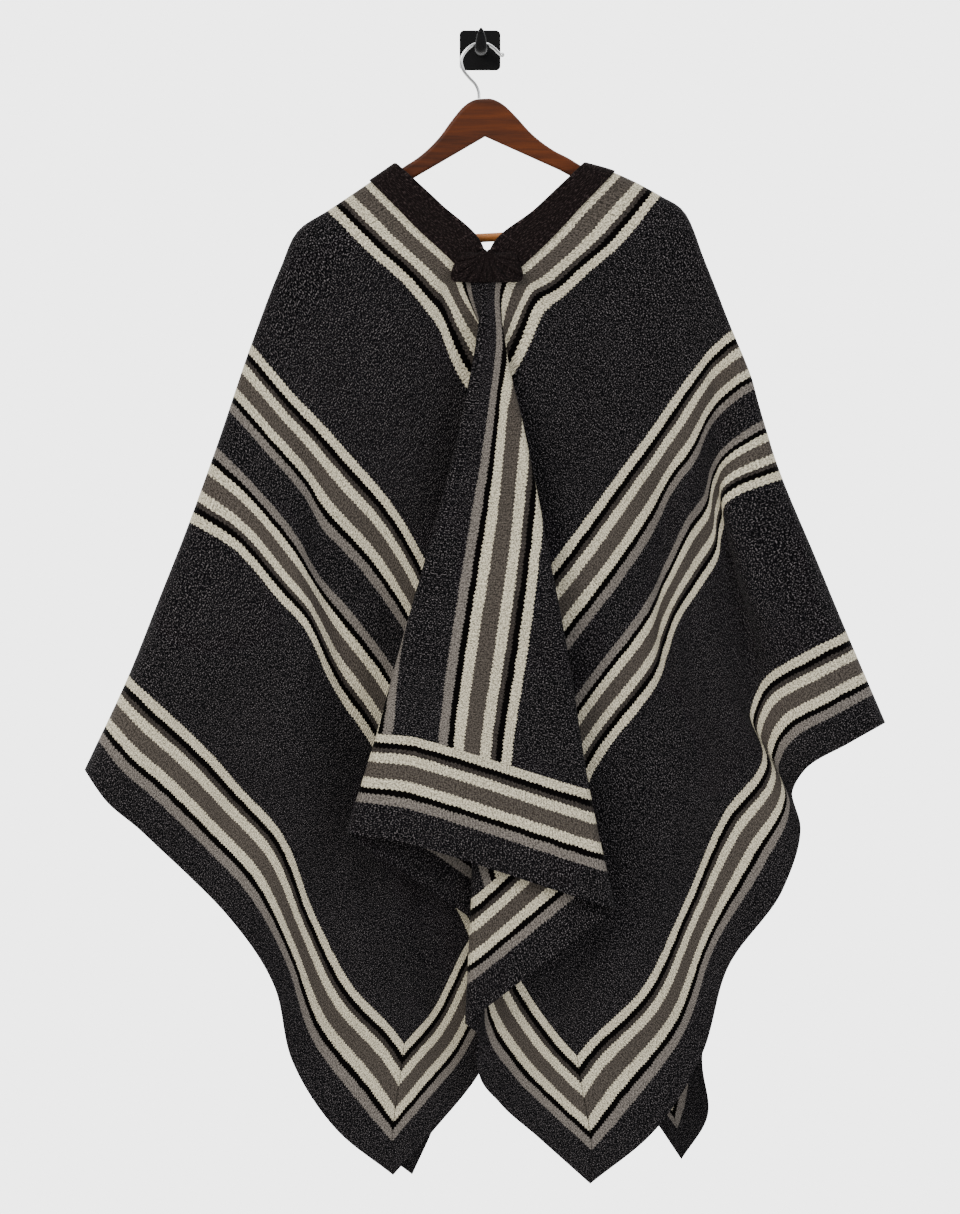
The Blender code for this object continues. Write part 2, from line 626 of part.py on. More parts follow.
def make_border(halves, side, back, material):
    """The hem's border below one panel, mitred towards the side's corner."""
    def share_at(part):
        return lambda seam: seam + (LAST_SECTION - seam) * part

    columns = column_places(back)[:-1]
    count = 3 if back else 4
    shares = [(share_at(0), SEAM)] + [(share_at(i / count), 0) for i in range(1, count + 1)]
    points, normals = cloth_grid(halves, side, columns, shares, back)
    name = f"border_{'back' if back else 'front'}_{side}"
    return add_node(name, wall(points, normals), material)


def make_collar(halves, side, material):
    """The neck facing of one side: a strip over the slit's edge, on the outside of the cloth."""
    half = halves[side]
    sections = [place * SEAM_SECTION for place in section_places(False) if place * SEAM_SECTION <= SLIT_END]
    points, normals = [], []
    for section in [-section for section in sections[:0:-1]] + sections:
        last = half.column(1000 * COLLAR_WIDTH, section)
        places = [0, 0.8, 1, 1.6, 2, last]
        points.append([half.point(place, section) for place in places])
        normals.append([half.normal(place, section) for place in places])
    return add_node(f"collar_{side}", wall(points, normals, CLOTH + 2 * SEAM), material)


def make_gather(back, material):
    """The fan of small pleats sewn over one end of the neck slit."""
    facing = -1 if back else 1
    pleat_steps, rings = (2, 3) if back else (4, 3)
    start = GATHER_BACK["back" if back else "front"]
    steps = GATHER_PLEATS * pleat_steps
    layers = ([], [])
    for ring in range(rings + 1):
        share = 0.12 + 0.88 * ring / rings
        for layer in layers:
            layer.append([])
        for i in range(steps + 1):
            angle = GATHER_SWEEP * (2 * i / steps - 1)
            side, down = math.sin(angle), math.cos(angle)
            parts = [abs(part / most) ** GATHER_SQUARENESS for part, most in zip((side, down), GATHER_REACH)]
            reach = share * sum(parts) ** (-1 / GATHER_SQUARENESS)
            pleat = GATHER_PLEAT * math.cos(2 * math.pi * i / pleat_steps) * share
            thickness = GATHER_RIM + (GATHER_MIDDLE - GATHER_RIM) * (1 - share * share) + pleat
            depth = (start + GATHER_SLOPE * reach * down) / 1000
            x, z = (GATHER_CENTRE[0] + reach * side) * GRID, -(GATHER_CENTRE[1] + reach * down) * GRID
            for layer, out in zip(layers, (0, thickness)):
                layer[-1].append((x, -HANGER_PLANE - facing * (depth + out), z))
    return add_node(f"neck_gather_{'back' if back else 'front'}", closed_sheet(*layers), material)


def hanger_place():
    """The hanger's own axes in the world."""
    x, y = HANGER_TOP
    return Matrix.Translation((x * GRID, -HANGER_PLANE, -y * GRID)) @ Matrix.Rotation(-HANGER_TILT, 4, "Y")


def hanger_outline(halves):
    """Outline of the wood in x and z on its own axes. Its top follows the lower of both shoulders."""
    to_hanger = hanger_place().inverted()
    shoulders = []
    for half in halves.values():
        ridge = [to_hanger @ Vector(half.point(column, 0)) for column in column_places(False) if column <= 3]
        shoulders.append(([abs(point.x) for point in ridge], [point.z for point in ridge]))
    right = [(x * GRID, -y * GRID) for x, y in HANGER_CROWN]
    for distance in HANGER_CARRIED:
        x = distance * GRID
        heights = [min(np.interp(place, *shoulder) for shoulder in shoulders) for place in (x, x + GRID)]
        slope = math.hypot(1, (heights[1] - heights[0]) / GRID)
        right.append((x, heights[0] - (CLOTH / 2 + HANGER_CLEARANCE) * slope))
    right += [(x * GRID, -y * GRID) for x, y in HANGER_END + HANGER_UNDERSIDE]
    return right + [(-x, z) for x, z in reversed(right[1:-1])]


def make_hanger(halves, wood, bar_wood):
    half_thickness = HANGER_THICKNESS / 2
    shape = slab(hanger_outline(halves), half_thickness, -half_thickness, HANGER_BEVEL, True)
    body = add_node("hanger_body", shape, wood)
    bar = bmesh.new()
    bmesh.ops.create_cone(bar, cap_ends=True, segments=16, radius1=BAR_RADIUS, radius2=BAR_RADIUS,
                          depth=2 * (BAR_REACH * GRID - SEAM), matrix=Matrix.Rotation(math.pi / 2, 4, "Y"))
    bmesh.ops.translate(bar, verts=bar.verts, vec=(0, 0, -BAR_DROP * GRID))
    for node in (body, add_node("hanger_bar", bar, bar_wood)):
        node.matrix_world = hanger_place()


def make_hook(material):
    """The hanger's hook: a bent wire with a ball at its tip."""
    route = np.array([(x * GRID, -y * GRID) for x, y in HOOK_ROUTE])
    lengths = np.concatenate(([0], np.cumsum(np.linalg.norm(np.diff(route, axis=0), axis=1))))
    ball = [TIP_RADIUS * (1 - math.cos(turn)) for turn in np.linspace(0.3, 2.4, 6)]
    places = ball + list(np.linspace(ball[-1] + WIRE_RADIUS, lengths[-1], 20))
    rings = []
    for place in places:
        x, z = spline(lengths, route, place)
        ahead = spline(lengths, route, place + WIRE_RADIUS) - spline(lengths, route, place - WIRE_RADIUS)
        across = Vector((-ahead[1], 0, ahead[0])).normalized()
        round_tip = math.sqrt(max(0, TIP_RADIUS ** 2 - (place - TIP_RADIUS) ** 2))
        radius = round_tip if place < TIP_RADIUS else max(WIRE_RADIUS, round_tip)
        centre = Vector((x, -HANGER_PLANE, z))
        rings.append([centre + (across * math.cos(turn) + Vector((0, math.sin(turn), 0))) * radius
                      for turn in (2 * math.pi * i / 8 for i in range(8))])
    return add_node("hanger_hook", skin(rings), material)


def make_wall_hook(material):
    """The wall's hook: a tongue under the hanger's wire that turns up to a rounded tip."""
    rings = []
    for i, (out, height, half_width, half_thickness) in enumerate(WALL_HOOK):
        before, after = WALL_HOOK[max(i - 1, 0)], WALL_HOOK[min(i + 1, len(WALL_HOOK) - 1)]
        ahead = Vector((after[0] - before[0], after[1] - before[1])).normalized()
        rings.append([(HOOK_X * GRID + half_width * math.cos(turn),
                       -out + ahead.y * half_thickness * math.sin(turn),
                       height + ahead.x * half_thickness * math.sin(turn))
                      for turn in (2 * math.pi * i / HOOK_SIDES for i in range(HOOK_SIDES))])
    return add_node("wall_hook", skin(rings), material)


def make_wall_plate(material):
    """The wall hook's square plate."""
    outline = []
    width, height = PLATE_WIDTH / 2 - PLATE_CORNER, PLATE_HEIGHT / 2 - PLATE_CORNER
    for corner, (x, z) in enumerate(((width, height), (-width, height), (-width, -height), (width, -height))):
        for step in range(CORNER_STEPS + 1):
            turn = math.pi / 2 * (corner + step / CORNER_STEPS)
            outline.append((x + PLATE_CORNER * math.cos(turn), z + PLATE_CORNER * math.sin(turn)))
    return add_node("wall_plate", slab(outline, 0, -PLATE_THICKNESS, PLATE_BEVEL, False), material)


def main():
    clear_scene()
    charcoal = make_material("charcoal_wool", (0.028, 0.029, 0.032), 0.95)
    striped = make_material("striped_wool", (0.16, 0.14, 0.11), 0.95)
    brown = make_material("brown_wool", (0.022, 0.016, 0.013), 0.95)
    wood = make_material("stained_wood", (0.11, 0.032, 0.014), 0.40)
    bar_wood = make_material("plain_wood", (0.38, 0.14, 0.035), 0.45)
    steel = make_material("bright_steel", (0.62, 0.62, 0.60), 0.25, 1.0)
    black = make_material("black_paint", (0.006, 0.006, 0.012), 0.45)
    halves = {side: Half(side) for side in ("left", "right")}
    for side in halves:
        for back in (False, True):
            make_panel(halves, side, back, charcoal)
            make_border(halves, side, back, striped)
        make_collar(halves, side, brown)
    for back in (False, True):
        make_gather(back, brown)
    make_hanger(halves, wood, bar_wood)
    make_hook(steel)
    make_wall_hook(black)
    make_wall_plate(black)


main()
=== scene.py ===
# Andean poncho on a wooden hanger: its looks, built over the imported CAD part.
# Metres, +Z up, front towards -Y. The cloth is one surface over the flat cut: each section is a line
# of equal distance from the shoulder fold, and lists where the warp lines and the folds cross it.
import math
from functools import partial

import bmesh
import bpy
import numpy as np
from mathutils import Matrix, Vector, noise


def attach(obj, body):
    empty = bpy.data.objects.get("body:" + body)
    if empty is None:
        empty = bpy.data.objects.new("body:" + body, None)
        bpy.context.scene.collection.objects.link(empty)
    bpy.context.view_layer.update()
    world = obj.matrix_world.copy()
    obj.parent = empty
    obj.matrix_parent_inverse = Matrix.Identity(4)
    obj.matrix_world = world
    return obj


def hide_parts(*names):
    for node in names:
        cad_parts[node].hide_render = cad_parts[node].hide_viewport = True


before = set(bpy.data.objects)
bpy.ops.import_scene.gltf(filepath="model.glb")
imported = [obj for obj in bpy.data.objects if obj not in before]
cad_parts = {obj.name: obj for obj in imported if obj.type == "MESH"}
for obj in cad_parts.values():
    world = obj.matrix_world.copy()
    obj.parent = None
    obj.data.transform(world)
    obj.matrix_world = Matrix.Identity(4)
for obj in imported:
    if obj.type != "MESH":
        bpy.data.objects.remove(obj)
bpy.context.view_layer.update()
print("stage: frame loaded")

# The garment's cut and how it hangs, in metres
gridStep = 0.00117         # one step of the drafting grid that the tables below are read on
hangerPlane = 0.060        # from the wall to the middle of the hanger
halfWidth = 0.822          # centre line to side edge, laid flat
halfLength = 0.864         # shoulder fold to hem, laid flat
borderWidth = 0.122        # hem border, seam to edge
slitReach = 0.139          # shoulder fold to each end of the neck slit
clothThickness = 0.0022
crispAngle = math.radians(60)      # edges of the cloth that turn more than this stay crisp
shoulderRadius = 0.022     # roundness of the shoulder fold
bellyDepth = 0.016         # how far the cloth swells below the shoulder
bellySpan, bellyEnd = 1000, 900      # the swell runs over this many millimetres, and stays level past its end

# The same sizes in millimetres, for the cloth's tables
lastWarp = 1000 * halfWidth
lastSection = 1000 * halfLength
mitreWarp = 1000 * (halfWidth - borderWidth)
slitEnd = 1000 * slitReach
bandWarp = 503             # end of the outer band's first stripe, where the columns split evenly
joinEnd = 178              # the two halves are fully joined from this section on
rollEnd = 150              # section where the cloth has caught up after the round shoulder
flattest = 0.75            # least sideways part of a run's direction where it meets a fold
straightRun = 12           # plain cloth kept beside each fold
freeSlopes = (math.nan, math.nan, math.nan)      # a guide point whose slope follows its neighbours

# Where each warp line (millimetres from the centre line) crosses each section (millimetres from the
# shoulder fold), in grid steps right of and below the wall hook. Where a row is short, the first warp
# lines lie inside a fold there.
warpLines = (0, 45, 109, 150, 200, 291, 419, 503, 600, 700, 822)
leftSections = {
    0: ((-83, 116), (-109, 134), (-152, 163), (-181, 182), (-199, 220), (-228, 296), (-263, 399),
        (-290, 474), (-320, 550), (-351, 628), (-395, 722)),
    60: ((-40, 155), (-74, 169), (-117, 198), (-139, 230), (-163, 267), (-196, 335), (-227, 435),
        (-246, 501), (-284, 577), (-323, 654), (-374, 752)),
    139: ((4, 202), (-26, 216), (-68, 245), (-87, 275), (-112, 312), (-149, 385), (-184, 488),
        (-201, 552), (-243, 620), (-286, 688), (-339, 782)),
    178: ((-18, 240), (-47, 271), (-67, 304), (-90, 342), (-128, 409), (-169, 515), (-181, 574),
        (-225, 641), (-269, 705), (-322, 798)),
    250: ((-21, 328), (-35, 360), (-52, 397), (-88, 456), (-130, 562), (-152, 630), (-196, 684),
        (-239, 739), (-290, 828)),
    340: ((-10, 462), (-49, 524), (-84, 624), (-111, 693), (-155, 737), (-200, 782), (-252, 867)),
    480: ((2, 634), (-50, 720), (-75, 764), (-120, 812), (-168, 861), (-205, 937)),
    610: ((-8, 784), (-44, 824), (-87, 879), (-130, 934), (-187, 1014)),
    742: ((26, 853), (-10, 890), (-44, 957), (-76, 996), (-144, 1081)),
    864: ((43, 946), (20, 987), (-6, 1033), (-41, 1076), (-87, 1127)),
}
rightSections = {
    0: ((103, 116), (134, 125), (180, 148), (204, 164), (224, 212), (251, 282), (281, 372), (302, 431),
        (334, 507), (366, 584), (405, 675)),
    60: ((57, 159), (94, 166), (148, 188), (172, 208), (197, 242), (226, 306), (239, 404), (249, 454),
        (285, 532), (326, 604), (369, 695)),
    139: ((10, 202), (41, 220), (99, 234), (122, 258), (145, 290), (190, 354), (222, 449), (237, 512),
        (258, 576), (280, 637), (324, 722)),
    178: ((27, 237), (74, 255), (100, 282), (126, 314), (172, 380), (208, 467), (222, 537), (246, 604),
        (270, 664), (313, 741)),
    250: ((43, 310), (67, 337), (92, 369), (137, 427), (188, 512), (196, 577), (234, 649), (282, 711),
        (320, 785)),
    340: ((47, 434), (97, 482), (160, 562), (182, 627), (220, 697), (245, 763), (303, 841)),
    480: ((80, 672), (117, 717), (170, 790), (204, 854), (248, 919)),
    610: ((35, 767), (70, 820), (118, 882), (163, 938), (222, 1005)),
    742: ((26, 905), (60, 962), (97, 1007), (175, 1081)),
    864: ((-3, 1013), (20, 1054), (59, 1089), (110, 1135)),
}

# The centre pleat. The flap's outer fold and the hidden inner fold of each side: warp (mm), x, y.
# Depths are millimetres in front of the hanger, from the flap back to the left panel.
pleatFolds = {
    # section: (centre), (left outer), (left inner), (right outer), (right inner)
    178: ((7, 236), (6, 2, 237), (40, -15, 239), (30, 18, 236), (62, 38, 242)),
    250: ((4, 288), (7, -2, 287), (60, 14, 302), (44, 26, 304), (80, 12, 327)),
    340: ((-9, 368), (11, -17, 367), (95, 42, 407), (73, 40, 367), (140, 9, 412)),
    480: ((-34, 490), (17, -47, 487), (177, 63, 537), (118, 65, 490), (262, 2, 572)),
    610: ((-53, 602), (30, -78, 597), (246, 75, 667), (162, 88, 612), (345, -6, 712)),
    742: ((-63, 689), (48, -102, 685), (305, 76, 802), (206, 108, 741), (400, -8, 850)),
    864: ((-75, 793), (60, -133, 784), (360, 60, 917), (232, 134, 860), (450, -14, 974)),
}
pleatDepths = {
    # section: flap, step into its fold, right under-fold, right panel, left under-fold, left panel
    178: (43, 0, 38, 35, 36, 33),
    250: (62, 9, 51, 43, 36, 28),
    340: (84, 12, 70, 57, 44, 30),
    480: (104, 16, 86, 70, 50, 30),
    610: (118, 19, 97, 78, 52, 30),
    742: (128, 21, 105, 84, 54, 30),
    864: (134, 22, 110, 88, 54, 30),
}

# Soft folds, each along a line on the flat cloth: side, warp and section of both ends, half width,
# height of the ridge, height of the step beyond it (all millimetres)
softFoldLines = (
    ("left", 270, 40, 822, 560, 46, 0, 34),
    ("left", 150, 150, 520, 700, 60, 12, 0),
    ("right", 250, 30, 840, 190, 44, -20, 20),
    ("right", 420, 300, 760, 800, 60, 20, 0),
)
# How they fade: speed at the start, then how far past the end and speed, then millimetres at the shoulder
softFoldFade = {"start": 2.0, "past": 1.25, "end": 3.0, "shoulder": 60}
# The back hangs in a plainer pleat: half width of its flap (grid steps) and depths behind the hanger
backPleat = {
    # section: half width, flap, step into its fold, under-fold, panel
    178: (6, 37, 0, 35, 30),
    250: (18, 49, 9, 37, 27),
    340: (36, 48, 8, 38, 28),
    480: (62, 48, 8, 38, 28),
    610: (86, 48, 8, 38, 28),
    742: (108, 48, 8, 38, 28),
    864: (126, 48, 8, 38, 28),
}
# How far the back hem's corners stand from the front's, in grid steps, and the section where that starts
backCorners = {"left": (19, 1, 300), "right": (92, -22, 590)}
backComingFold = (26, 18, 3)     # the inner fold where it starts: its warp, x and y beyond the outer one
backOuterDrop = 0.15       # how far both folds hang below the centre, for each step of half width
backInnerDrop = 0.5
backInnerFold = (3, 4)     # its warp short of twice the flap's, and its distance from the centre
backFoldRoom = 25          # least warp between the inner fold and the next table point
backSoftness = 0.3         # share of the front's soft folds that the back shows
backApart = 4              # least distance of the back panel from the centre line, grid steps
backSpread = 0.25          # least run of the back panel away from its fold, grid steps per millimetre
backFullness = 5           # the back cloth's distance behind the shoulder's roundness, millimetres
centreX = 7                # the back's centre line, grid steps
# Depths at the neck slit, where the cloth has no fold yet, and where the folds' columns run there
neckDepths = {0: 0, 60: 27, 139: 39}
backNeckDepth = 33
neckFoldWarps = {"left": (8, 18), "right": (24, 33)}
# The left under-fold slips behind the right one: grid steps short of its fold, then depth behind its
# panel, which is at most this share of the room between both panels
slipSide = 8
slipDepth = 14
slipShare = 0.85
leastBeyond = 20           # a table point nearer to the inner fold than this is left out, millimetres
# A fold's guide point is left out where its neighbour is nearer than this many times its own run
roomWide = 2.3
roomNarrow = 1.3           # the same where the neighbour is nearer than "narrow" millimetres
narrow = 15
lastColumn = 5             # the columns run from the centre to the side edge, one mark at each whole number
normalReach = (0.004, 1.5)     # half the span that a normal is taken over: columns, and millimetres down
# How far from the centre pleat its depth still lifts the cloth beside it, millimetres
pleatReach = {"left": 150, "right": 340, "neck": 150, "back": 150}


def smooth(value):
    value = np.clip(value, 0.0, 1.0)
    return value * value * (3 - 2 * value)


def spline(knots, points, where, given=None):
    # A curve through points at uneven knots. Slopes come from the neighbours where none is given.
    steps = np.diff(knots)
    slopes = np.diff(points, axis=0) / steps[:, None]
    tangents = np.vstack((slopes[:1], slopes))
    before = steps[:-1, None]
    after = steps[1:, None]
    tangents[1:-1] = (slopes[:-1] * after + slopes[1:] * before) / (before + after)
    if given is not None:
        tangents = np.where(np.isnan(given), tangents, given)
    where = np.clip(where, knots[0], knots[-1])
    cell = min(int(np.searchsorted(knots, where, side="right")) - 1, len(steps) - 1)
    t = (where - knots[cell]) / steps[cell]
    a = points[cell] * (1 + 2 * t) * (1 - t) ** 2 + points[cell + 1] * t * t * (3 - 2 * t)
    b = tangents[cell] * t * (1 - t) ** 2 - tangents[cell + 1] * t * t * (1 - t)
    return a + b * steps[cell]


def baseDepth(section):
    # Depth of the plain front cloth in front of the hanger, without the shoulder's roundness.
    return 1000 * bellyDepth * math.sin(math.pi * min(abs(section), bellyEnd) / bellySpan)


def shoulderRoll(section):
    # The shoulder's round fold: a quarter turn from the ridge, the same length as the cloth.
    radius = 1000 * shoulderRadius
    return radius * math.sin(min(abs(section) / radius, math.pi / 2))


def alongSection(section):
    # Place along a section line: it lags while the cloth rolls over the shoulder, then catches up.
    radius = 1000 * shoulderRadius
    quarter = radius * math.pi / 2
    near = abs(section)
    if near < quarter:
        place = radius * (1 - math.cos(near / radius))
    elif near < rollEnd:
        place = radius + (near - quarter) * (rollEnd - radius) / (rollEnd - quarter)
    else:
        place = near
    return math.copysign(place, section)


def softFolds(side, warp, section):
    # Depth added by the soft folds that lie on this half.
    total = 0.0
    for foldSide, warpA, sectionA, warpB, sectionB, halfSpan, ridge, step in softFoldLines:
        if foldSide != side:
            continue
        along = Vector((warpB - warpA, sectionB - sectionA))
        length = along.length
        along.normalize()
        offset = Vector((warp - warpA, section - sectionA))
        travel = offset.dot(along) / length
        across = (offset.x * -along.y + offset.y * along.x) / halfSpan
        fade = float(smooth(travel * softFoldFade["start"])
                     * smooth((softFoldFade["past"] - travel) * softFoldFade["end"]))
        total += ridge * fade * math.exp(-across * across)
        total += step * fade * 0.5 * (1 - math.tanh(across))
    return total * float(smooth(abs(section) / softFoldFade["shoulder"]))


def roundedFold(fold, depthIn, depthOut, before, after):
    # Guide points that turn the cloth round half a circle at a fold, between two straight runs.
    warp, x, y = fold
    radius = abs(depthOut - depthIn) / 2
    sink = math.copysign(1, depthOut - depthIn)
    points = [(warp, x, y, (depthIn + depthOut) / 2, 0, 0, sink)]
    inward = math.copysign(1, before[1] + after[1] - 2 * x)
    for neighbour, depth, side in ((before, depthIn, -1), (after, depthOut, 1)):
        chord = Vector((neighbour[1] - x, neighbour[2] - y))
        toward = chord.normalized()
        if toward.x * inward < flattest:
            # A run nearly along the fold still leaves it sideways, or the turn would be too tight.
            toward = Vector((inward * flattest, math.copysign(math.sqrt(1 - flattest ** 2), toward.y)))
        reach = radius / abs(toward.x)
        turn = math.pi / 4 * (radius + reach)
        room = abs(neighbour[0] - warp)
        speed = toward * side / (1000 * gridStep)
        bend = (toward + chord.normalized()).normalized() * side * chord.length / room
        for run, slopes in ((0, (*speed, 0)), (straightRun, (*bend, math.nan))):
            if room < (roomWide if room > narrow else roomNarrow) * (turn + run):
                continue
            travel = toward * (reach + run) / (1000 * gridStep)
            point = (warp + side * (turn + run), x + travel.x, y + travel.y, depth, *slopes)
            points.insert(0 if side < 0 else len(points), point)
    return points


def pleatSide(centre, outer, inner, depths, after):
    # Guide points of both folds on one side. At the pleat's top each coming fold is only a low slope.
    flap, fold, under, near = depths
    if fold:
        return (roundedFold(outer, flap, flap - fold, centre, inner)
                + roundedFold(inner, under, near, outer, after))
    far = [2 * last - first for first, last in zip(outer, inner)]
    return [(*outer, flap, *freeSlopes), (*inner, (under + near) / 2, *freeSlopes), (*far, near, *freeSlopes)]


def tableCells(side, section):
    # Warp, x and y where the table's warp lines cross a section.
    cells = (leftSections if side == "left" else rightSections)[section]
    return [(warp, *cell) for warp, cell in zip(warpLines[-len(cells):], cells)]


def frontFolds(side, section):
    # The front pleat's outer and inner fold on one side: warp, x, y.
    return pleatFolds[section][1:3] if side == "left" else pleatFolds[section][3:5]


def frontRow(side, section):
    # Guide points of one front section, from the centre outwards: warp, x, y, depth and slopes.
    base = 1000 * shoulderRadius + baseDepth(section)
    row = []
    cells = tableCells(side, section)
    if section in neckDepths:
        near, reach, start = neckDepths[section], pleatReach["neck"], 0
        base = base if section else 0
    else:
        flap, fold, rightUnder, rightPanel, leftUnder, leftPanel = pleatDepths[section]
        centre, leftOuter, _, rightOuter, rightInner = pleatFolds[section]
        centre = (0, *centre)
        outer, inner = frontFolds(side, section)
        under, near = (leftUnder, leftPanel) if side == "left" else (rightUnder, rightPanel)
        reach, start = pleatReach[side], inner[0]
        cells = [cell for cell in cells if cell[0] >= start + leastBeyond]
        # Both halves leave the centre line along the same straight run, so they meet smoothly.
        run = (Vector(rightOuter[1:]) - Vector(leftOuter[1:])) / (leftOuter[0] + rightOuter[0])
        run *= -1 if side == "left" else 1
        row.append((*centre, flap, *run, 0))
        if fold and side == "left":
            # The left under-fold slips behind the right one before it turns.
            slip = (rightInner[1] - slipSide - outer[1]) / (inner[1] - outer[1])
            middle = [outer[i] + (inner[i] - outer[i]) * slip for i in range(3)]
            depth = rightPanel - min(slipDepth, slipShare * (rightPanel - leftUnder))
            drop = flap - fold / 2 - depth
            runs = [math.hypot(share * (inner[1] - outer[1]), share * (inner[2] - outer[2]))
                    for share in (slip, 1 - slip)]
            firstRun = math.hypot(runs[0] * 1000 * gridStep, drop)
            middle[0] = outer[0] + (inner[0] - outer[0]) * firstRun / (firstRun + runs[1] * 1000 * gridStep)
            row += roundedFold(outer, flap, flap - fold, centre, middle)
            row.append((*middle, depth, math.nan, math.nan, 0))
            row += roundedFold(inner, under, near, middle, cells[0])
        else:
            row += pleatSide(centre, outer, inner, (flap, fold, under, near), cells[0])
    for warp, x, y in cells:
        share = math.exp(-((warp - start) / reach) ** 2)
        depth = base + (near - base) * share + softFolds(side, warp, section)
        row.append((warp, x, y, depth, *freeSlopes))
    return row


def backFolds(side, section):
    # The back pleat's outer and inner fold on one side: warp, x, y.
    sign = -1 if side == "left" else 1
    half, _, fold, _, _ = backPleat[section]
    middleY = pleatFolds[section][0][1]
    step = 1000 * gridStep
    if not fold:
        warp, x, y = backComingFold
        return ((half * step, centreX + sign * half, middleY),
                (half * step + warp, centreX + sign * (half + x), middleY + y))
    outer = (half * step, centreX + sign * half, middleY + backOuterDrop * half)
    short, x = backInnerFold
    return outer, (2 * half * step - short, centreX + sign * x, middleY + backInnerDrop * half)


def backRow(side, section):
    # Guide points of one back section; depth is negative, towards the wall.
    sign = -1 if side == "left" else 1
    cornerX, cornerY, cornerStart = backCorners[side]
    row = []
    start = 0
    near = min(neckDepths.get(section, 0), backNeckDepth)
    cells = tableCells(side, section)
    if section not in neckDepths:
        _, flap, fold, under, near = backPleat[section]
        outer, inner = backFolds(side, section)
        start = inner[0]
        cells = [cell for cell in cells if cell[0] > start + backFoldRoom]
        # Both halves stay on their own side of the centre, and reach the side edge as in front.
        firstWarp, firstX = cells[0][:2]
        short = max(0, backApart + backSpread * (firstWarp - start) - sign * (firstX - centreX))
        cells = [(warp, x + sign * short * (lastWarp - warp) / (lastWarp - firstWarp), y)
                 for warp, x, y in cells]
        centre = (0, centreX, pleatFolds[section][0][1])
        row.append((*centre, flap, sign / (1000 * gridStep), 0, 0))
        row += pleatSide(centre, outer, inner, (flap, fold, under, near), cells[0])
    plain = 1000 * shoulderRadius + backFullness if section else 0
    for warp, x, y in cells:
        pull = float(smooth((section - cornerStart) / (lastSection - cornerStart)) * smooth(warp / lastWarp))
        share = math.exp(-((warp - start) / pleatReach["back"]) ** 2)
        depth = plain + (near - plain) * share + backSoftness * softFolds(side, warp, section)
        row.append((warp, x + cornerX * pull, y + cornerY * pull, depth, *freeSlopes))
    return [(warp, x, y, -depth, dx, dy, -sink) for warp, x, y, depth, dx, dy, sink in row]


def warpAt(column, marks):
    # The warp at a column, from the warps at its two neighbouring marks.
    cell = min(int(column), lastColumn - 1)
    return marks[cell] + (column - cell) * (marks[cell + 1] - marks[cell])


class Half:
    # One loom width, front and back, as a surface over column and section.

    def __init__(self, side):
        self.side = side
        self.sign = -1 if side == "left" else 1
        sections = sorted(leftSections)
        self.sections = [-s for s in reversed(sections) if s] + sections
        self.rows = []
        self.marks = []
        self.known = {}
        for section in self.sections:
            row = np.array(backRow(side, -section) if section < 0 else frontRow(side, section), float)
            row[:, 3] -= math.copysign(shoulderRoll(section), section)
            self.rows.append(row)
            self.marks.append(self.foldWarps(section))
        self.marks = np.array(self.marks, float)

    def foldWarps(self, section):
        if abs(section) in neckDepths:
            outer, inner = neckFoldWarps[self.side]
        else:
            folds = backFolds if section < 0 else frontFolds
            outer, inner = [fold[0] for fold in folds(self.side, abs(section))]
        return (0, outer, inner, bandWarp, mitreWarp, lastWarp)

    def warp(self, column, section):
        # Warp at a column: columns 1 and 2 run along the outer and inner folds.
        return warpAt(column, spline(self.sections, self.marks, section))

    def column(self, warp, section):
        # Column at a warp, the other way round.
        return float(np.interp(warp, spline(self.sections, self.marks, section),
                               range(lastColumn + 1)))

    def guides(self, column):
        # Where a column crosses every section.
        column = round(column, 6)
        if column not in self.known:
            self.known[column] = np.array([
                spline(row[:, 0], row[:, 1:4], warpAt(column, marks), row[:, 4:])
                for marks, row in zip(self.marks, self.rows)])
        return self.known[column]

    def point(self, column, section):
        # World position of the middle of the cloth.
        x, y, depth = spline(self.sections, self.guides(column), alongSection(section))
        depth += math.copysign(shoulderRoll(section), section)
        return np.array((x * gridStep, -hangerPlane - depth / 1000, -y * gridStep))

    def normal(self, column, section):
        # Outward unit normal, from the cloth's run along both directions.
        reach, fall = normalReach
        low, high = max(column - reach, 0), min(column + reach, lastColumn)
        across = self.point(high, section) - self.point(low, section)
        low, high = max(section - fall, -lastSection), min(section + fall, lastSection)
        down = self.point(column, high) - self.point(column, low)
        normal = np.cross(across, down) * -self.sign
        return normal / np.linalg.norm(normal)


def measured(line):
    # The length of each stretch of a line, and the distance from its start to each of its points.
    spans = np.linalg.norm(np.diff(line, axis=0), axis=1)
    return spans, np.concatenate(([0], np.cumsum(spans)))


def spanPlaces(spans):
    # Places along a line, evenly spread in each span: start, end, how many steps.
    places = [spans[0][0]]
    for start, end, count in spans:
        places += [start + (end - start) * (i + 1) / count for i in range(count)]
    return places


def formedGrid(name, points, uvs=None, wrapped=False):
    # A grid moved to its points, row by row. A wrapped one is closed across its columns.
    points = np.asarray(points)
    rows, columns = points.shape[:2]
    form = bmesh.new()
    bmesh.ops.create_grid(form, x_segments=columns - 1, y_segments=rows - 1, size=0.5)
    layer = form.loops.layers.uv.new("clothUV") if uvs is not None else None
    places = {}
    for vertex in form.verts:
        place = (round((vertex.co.y + 0.5) * (rows - 1)), round((vertex.co.x + 0.5) * (columns - 1)))
        places[vertex] = place
        vertex.co = points[place]
    for face in form.faces:
        face.smooth = True
        if layer:
            for loop in face.loops:
                loop[layer].uv = uvs[places[loop.vert]]
    if wrapped:
        bmesh.ops.remove_doubles(form, verts=form.verts, dist=1e-6)
        bmesh.ops.recalc_face_normals(form, faces=form.faces)
    return finishedObject(name, form)


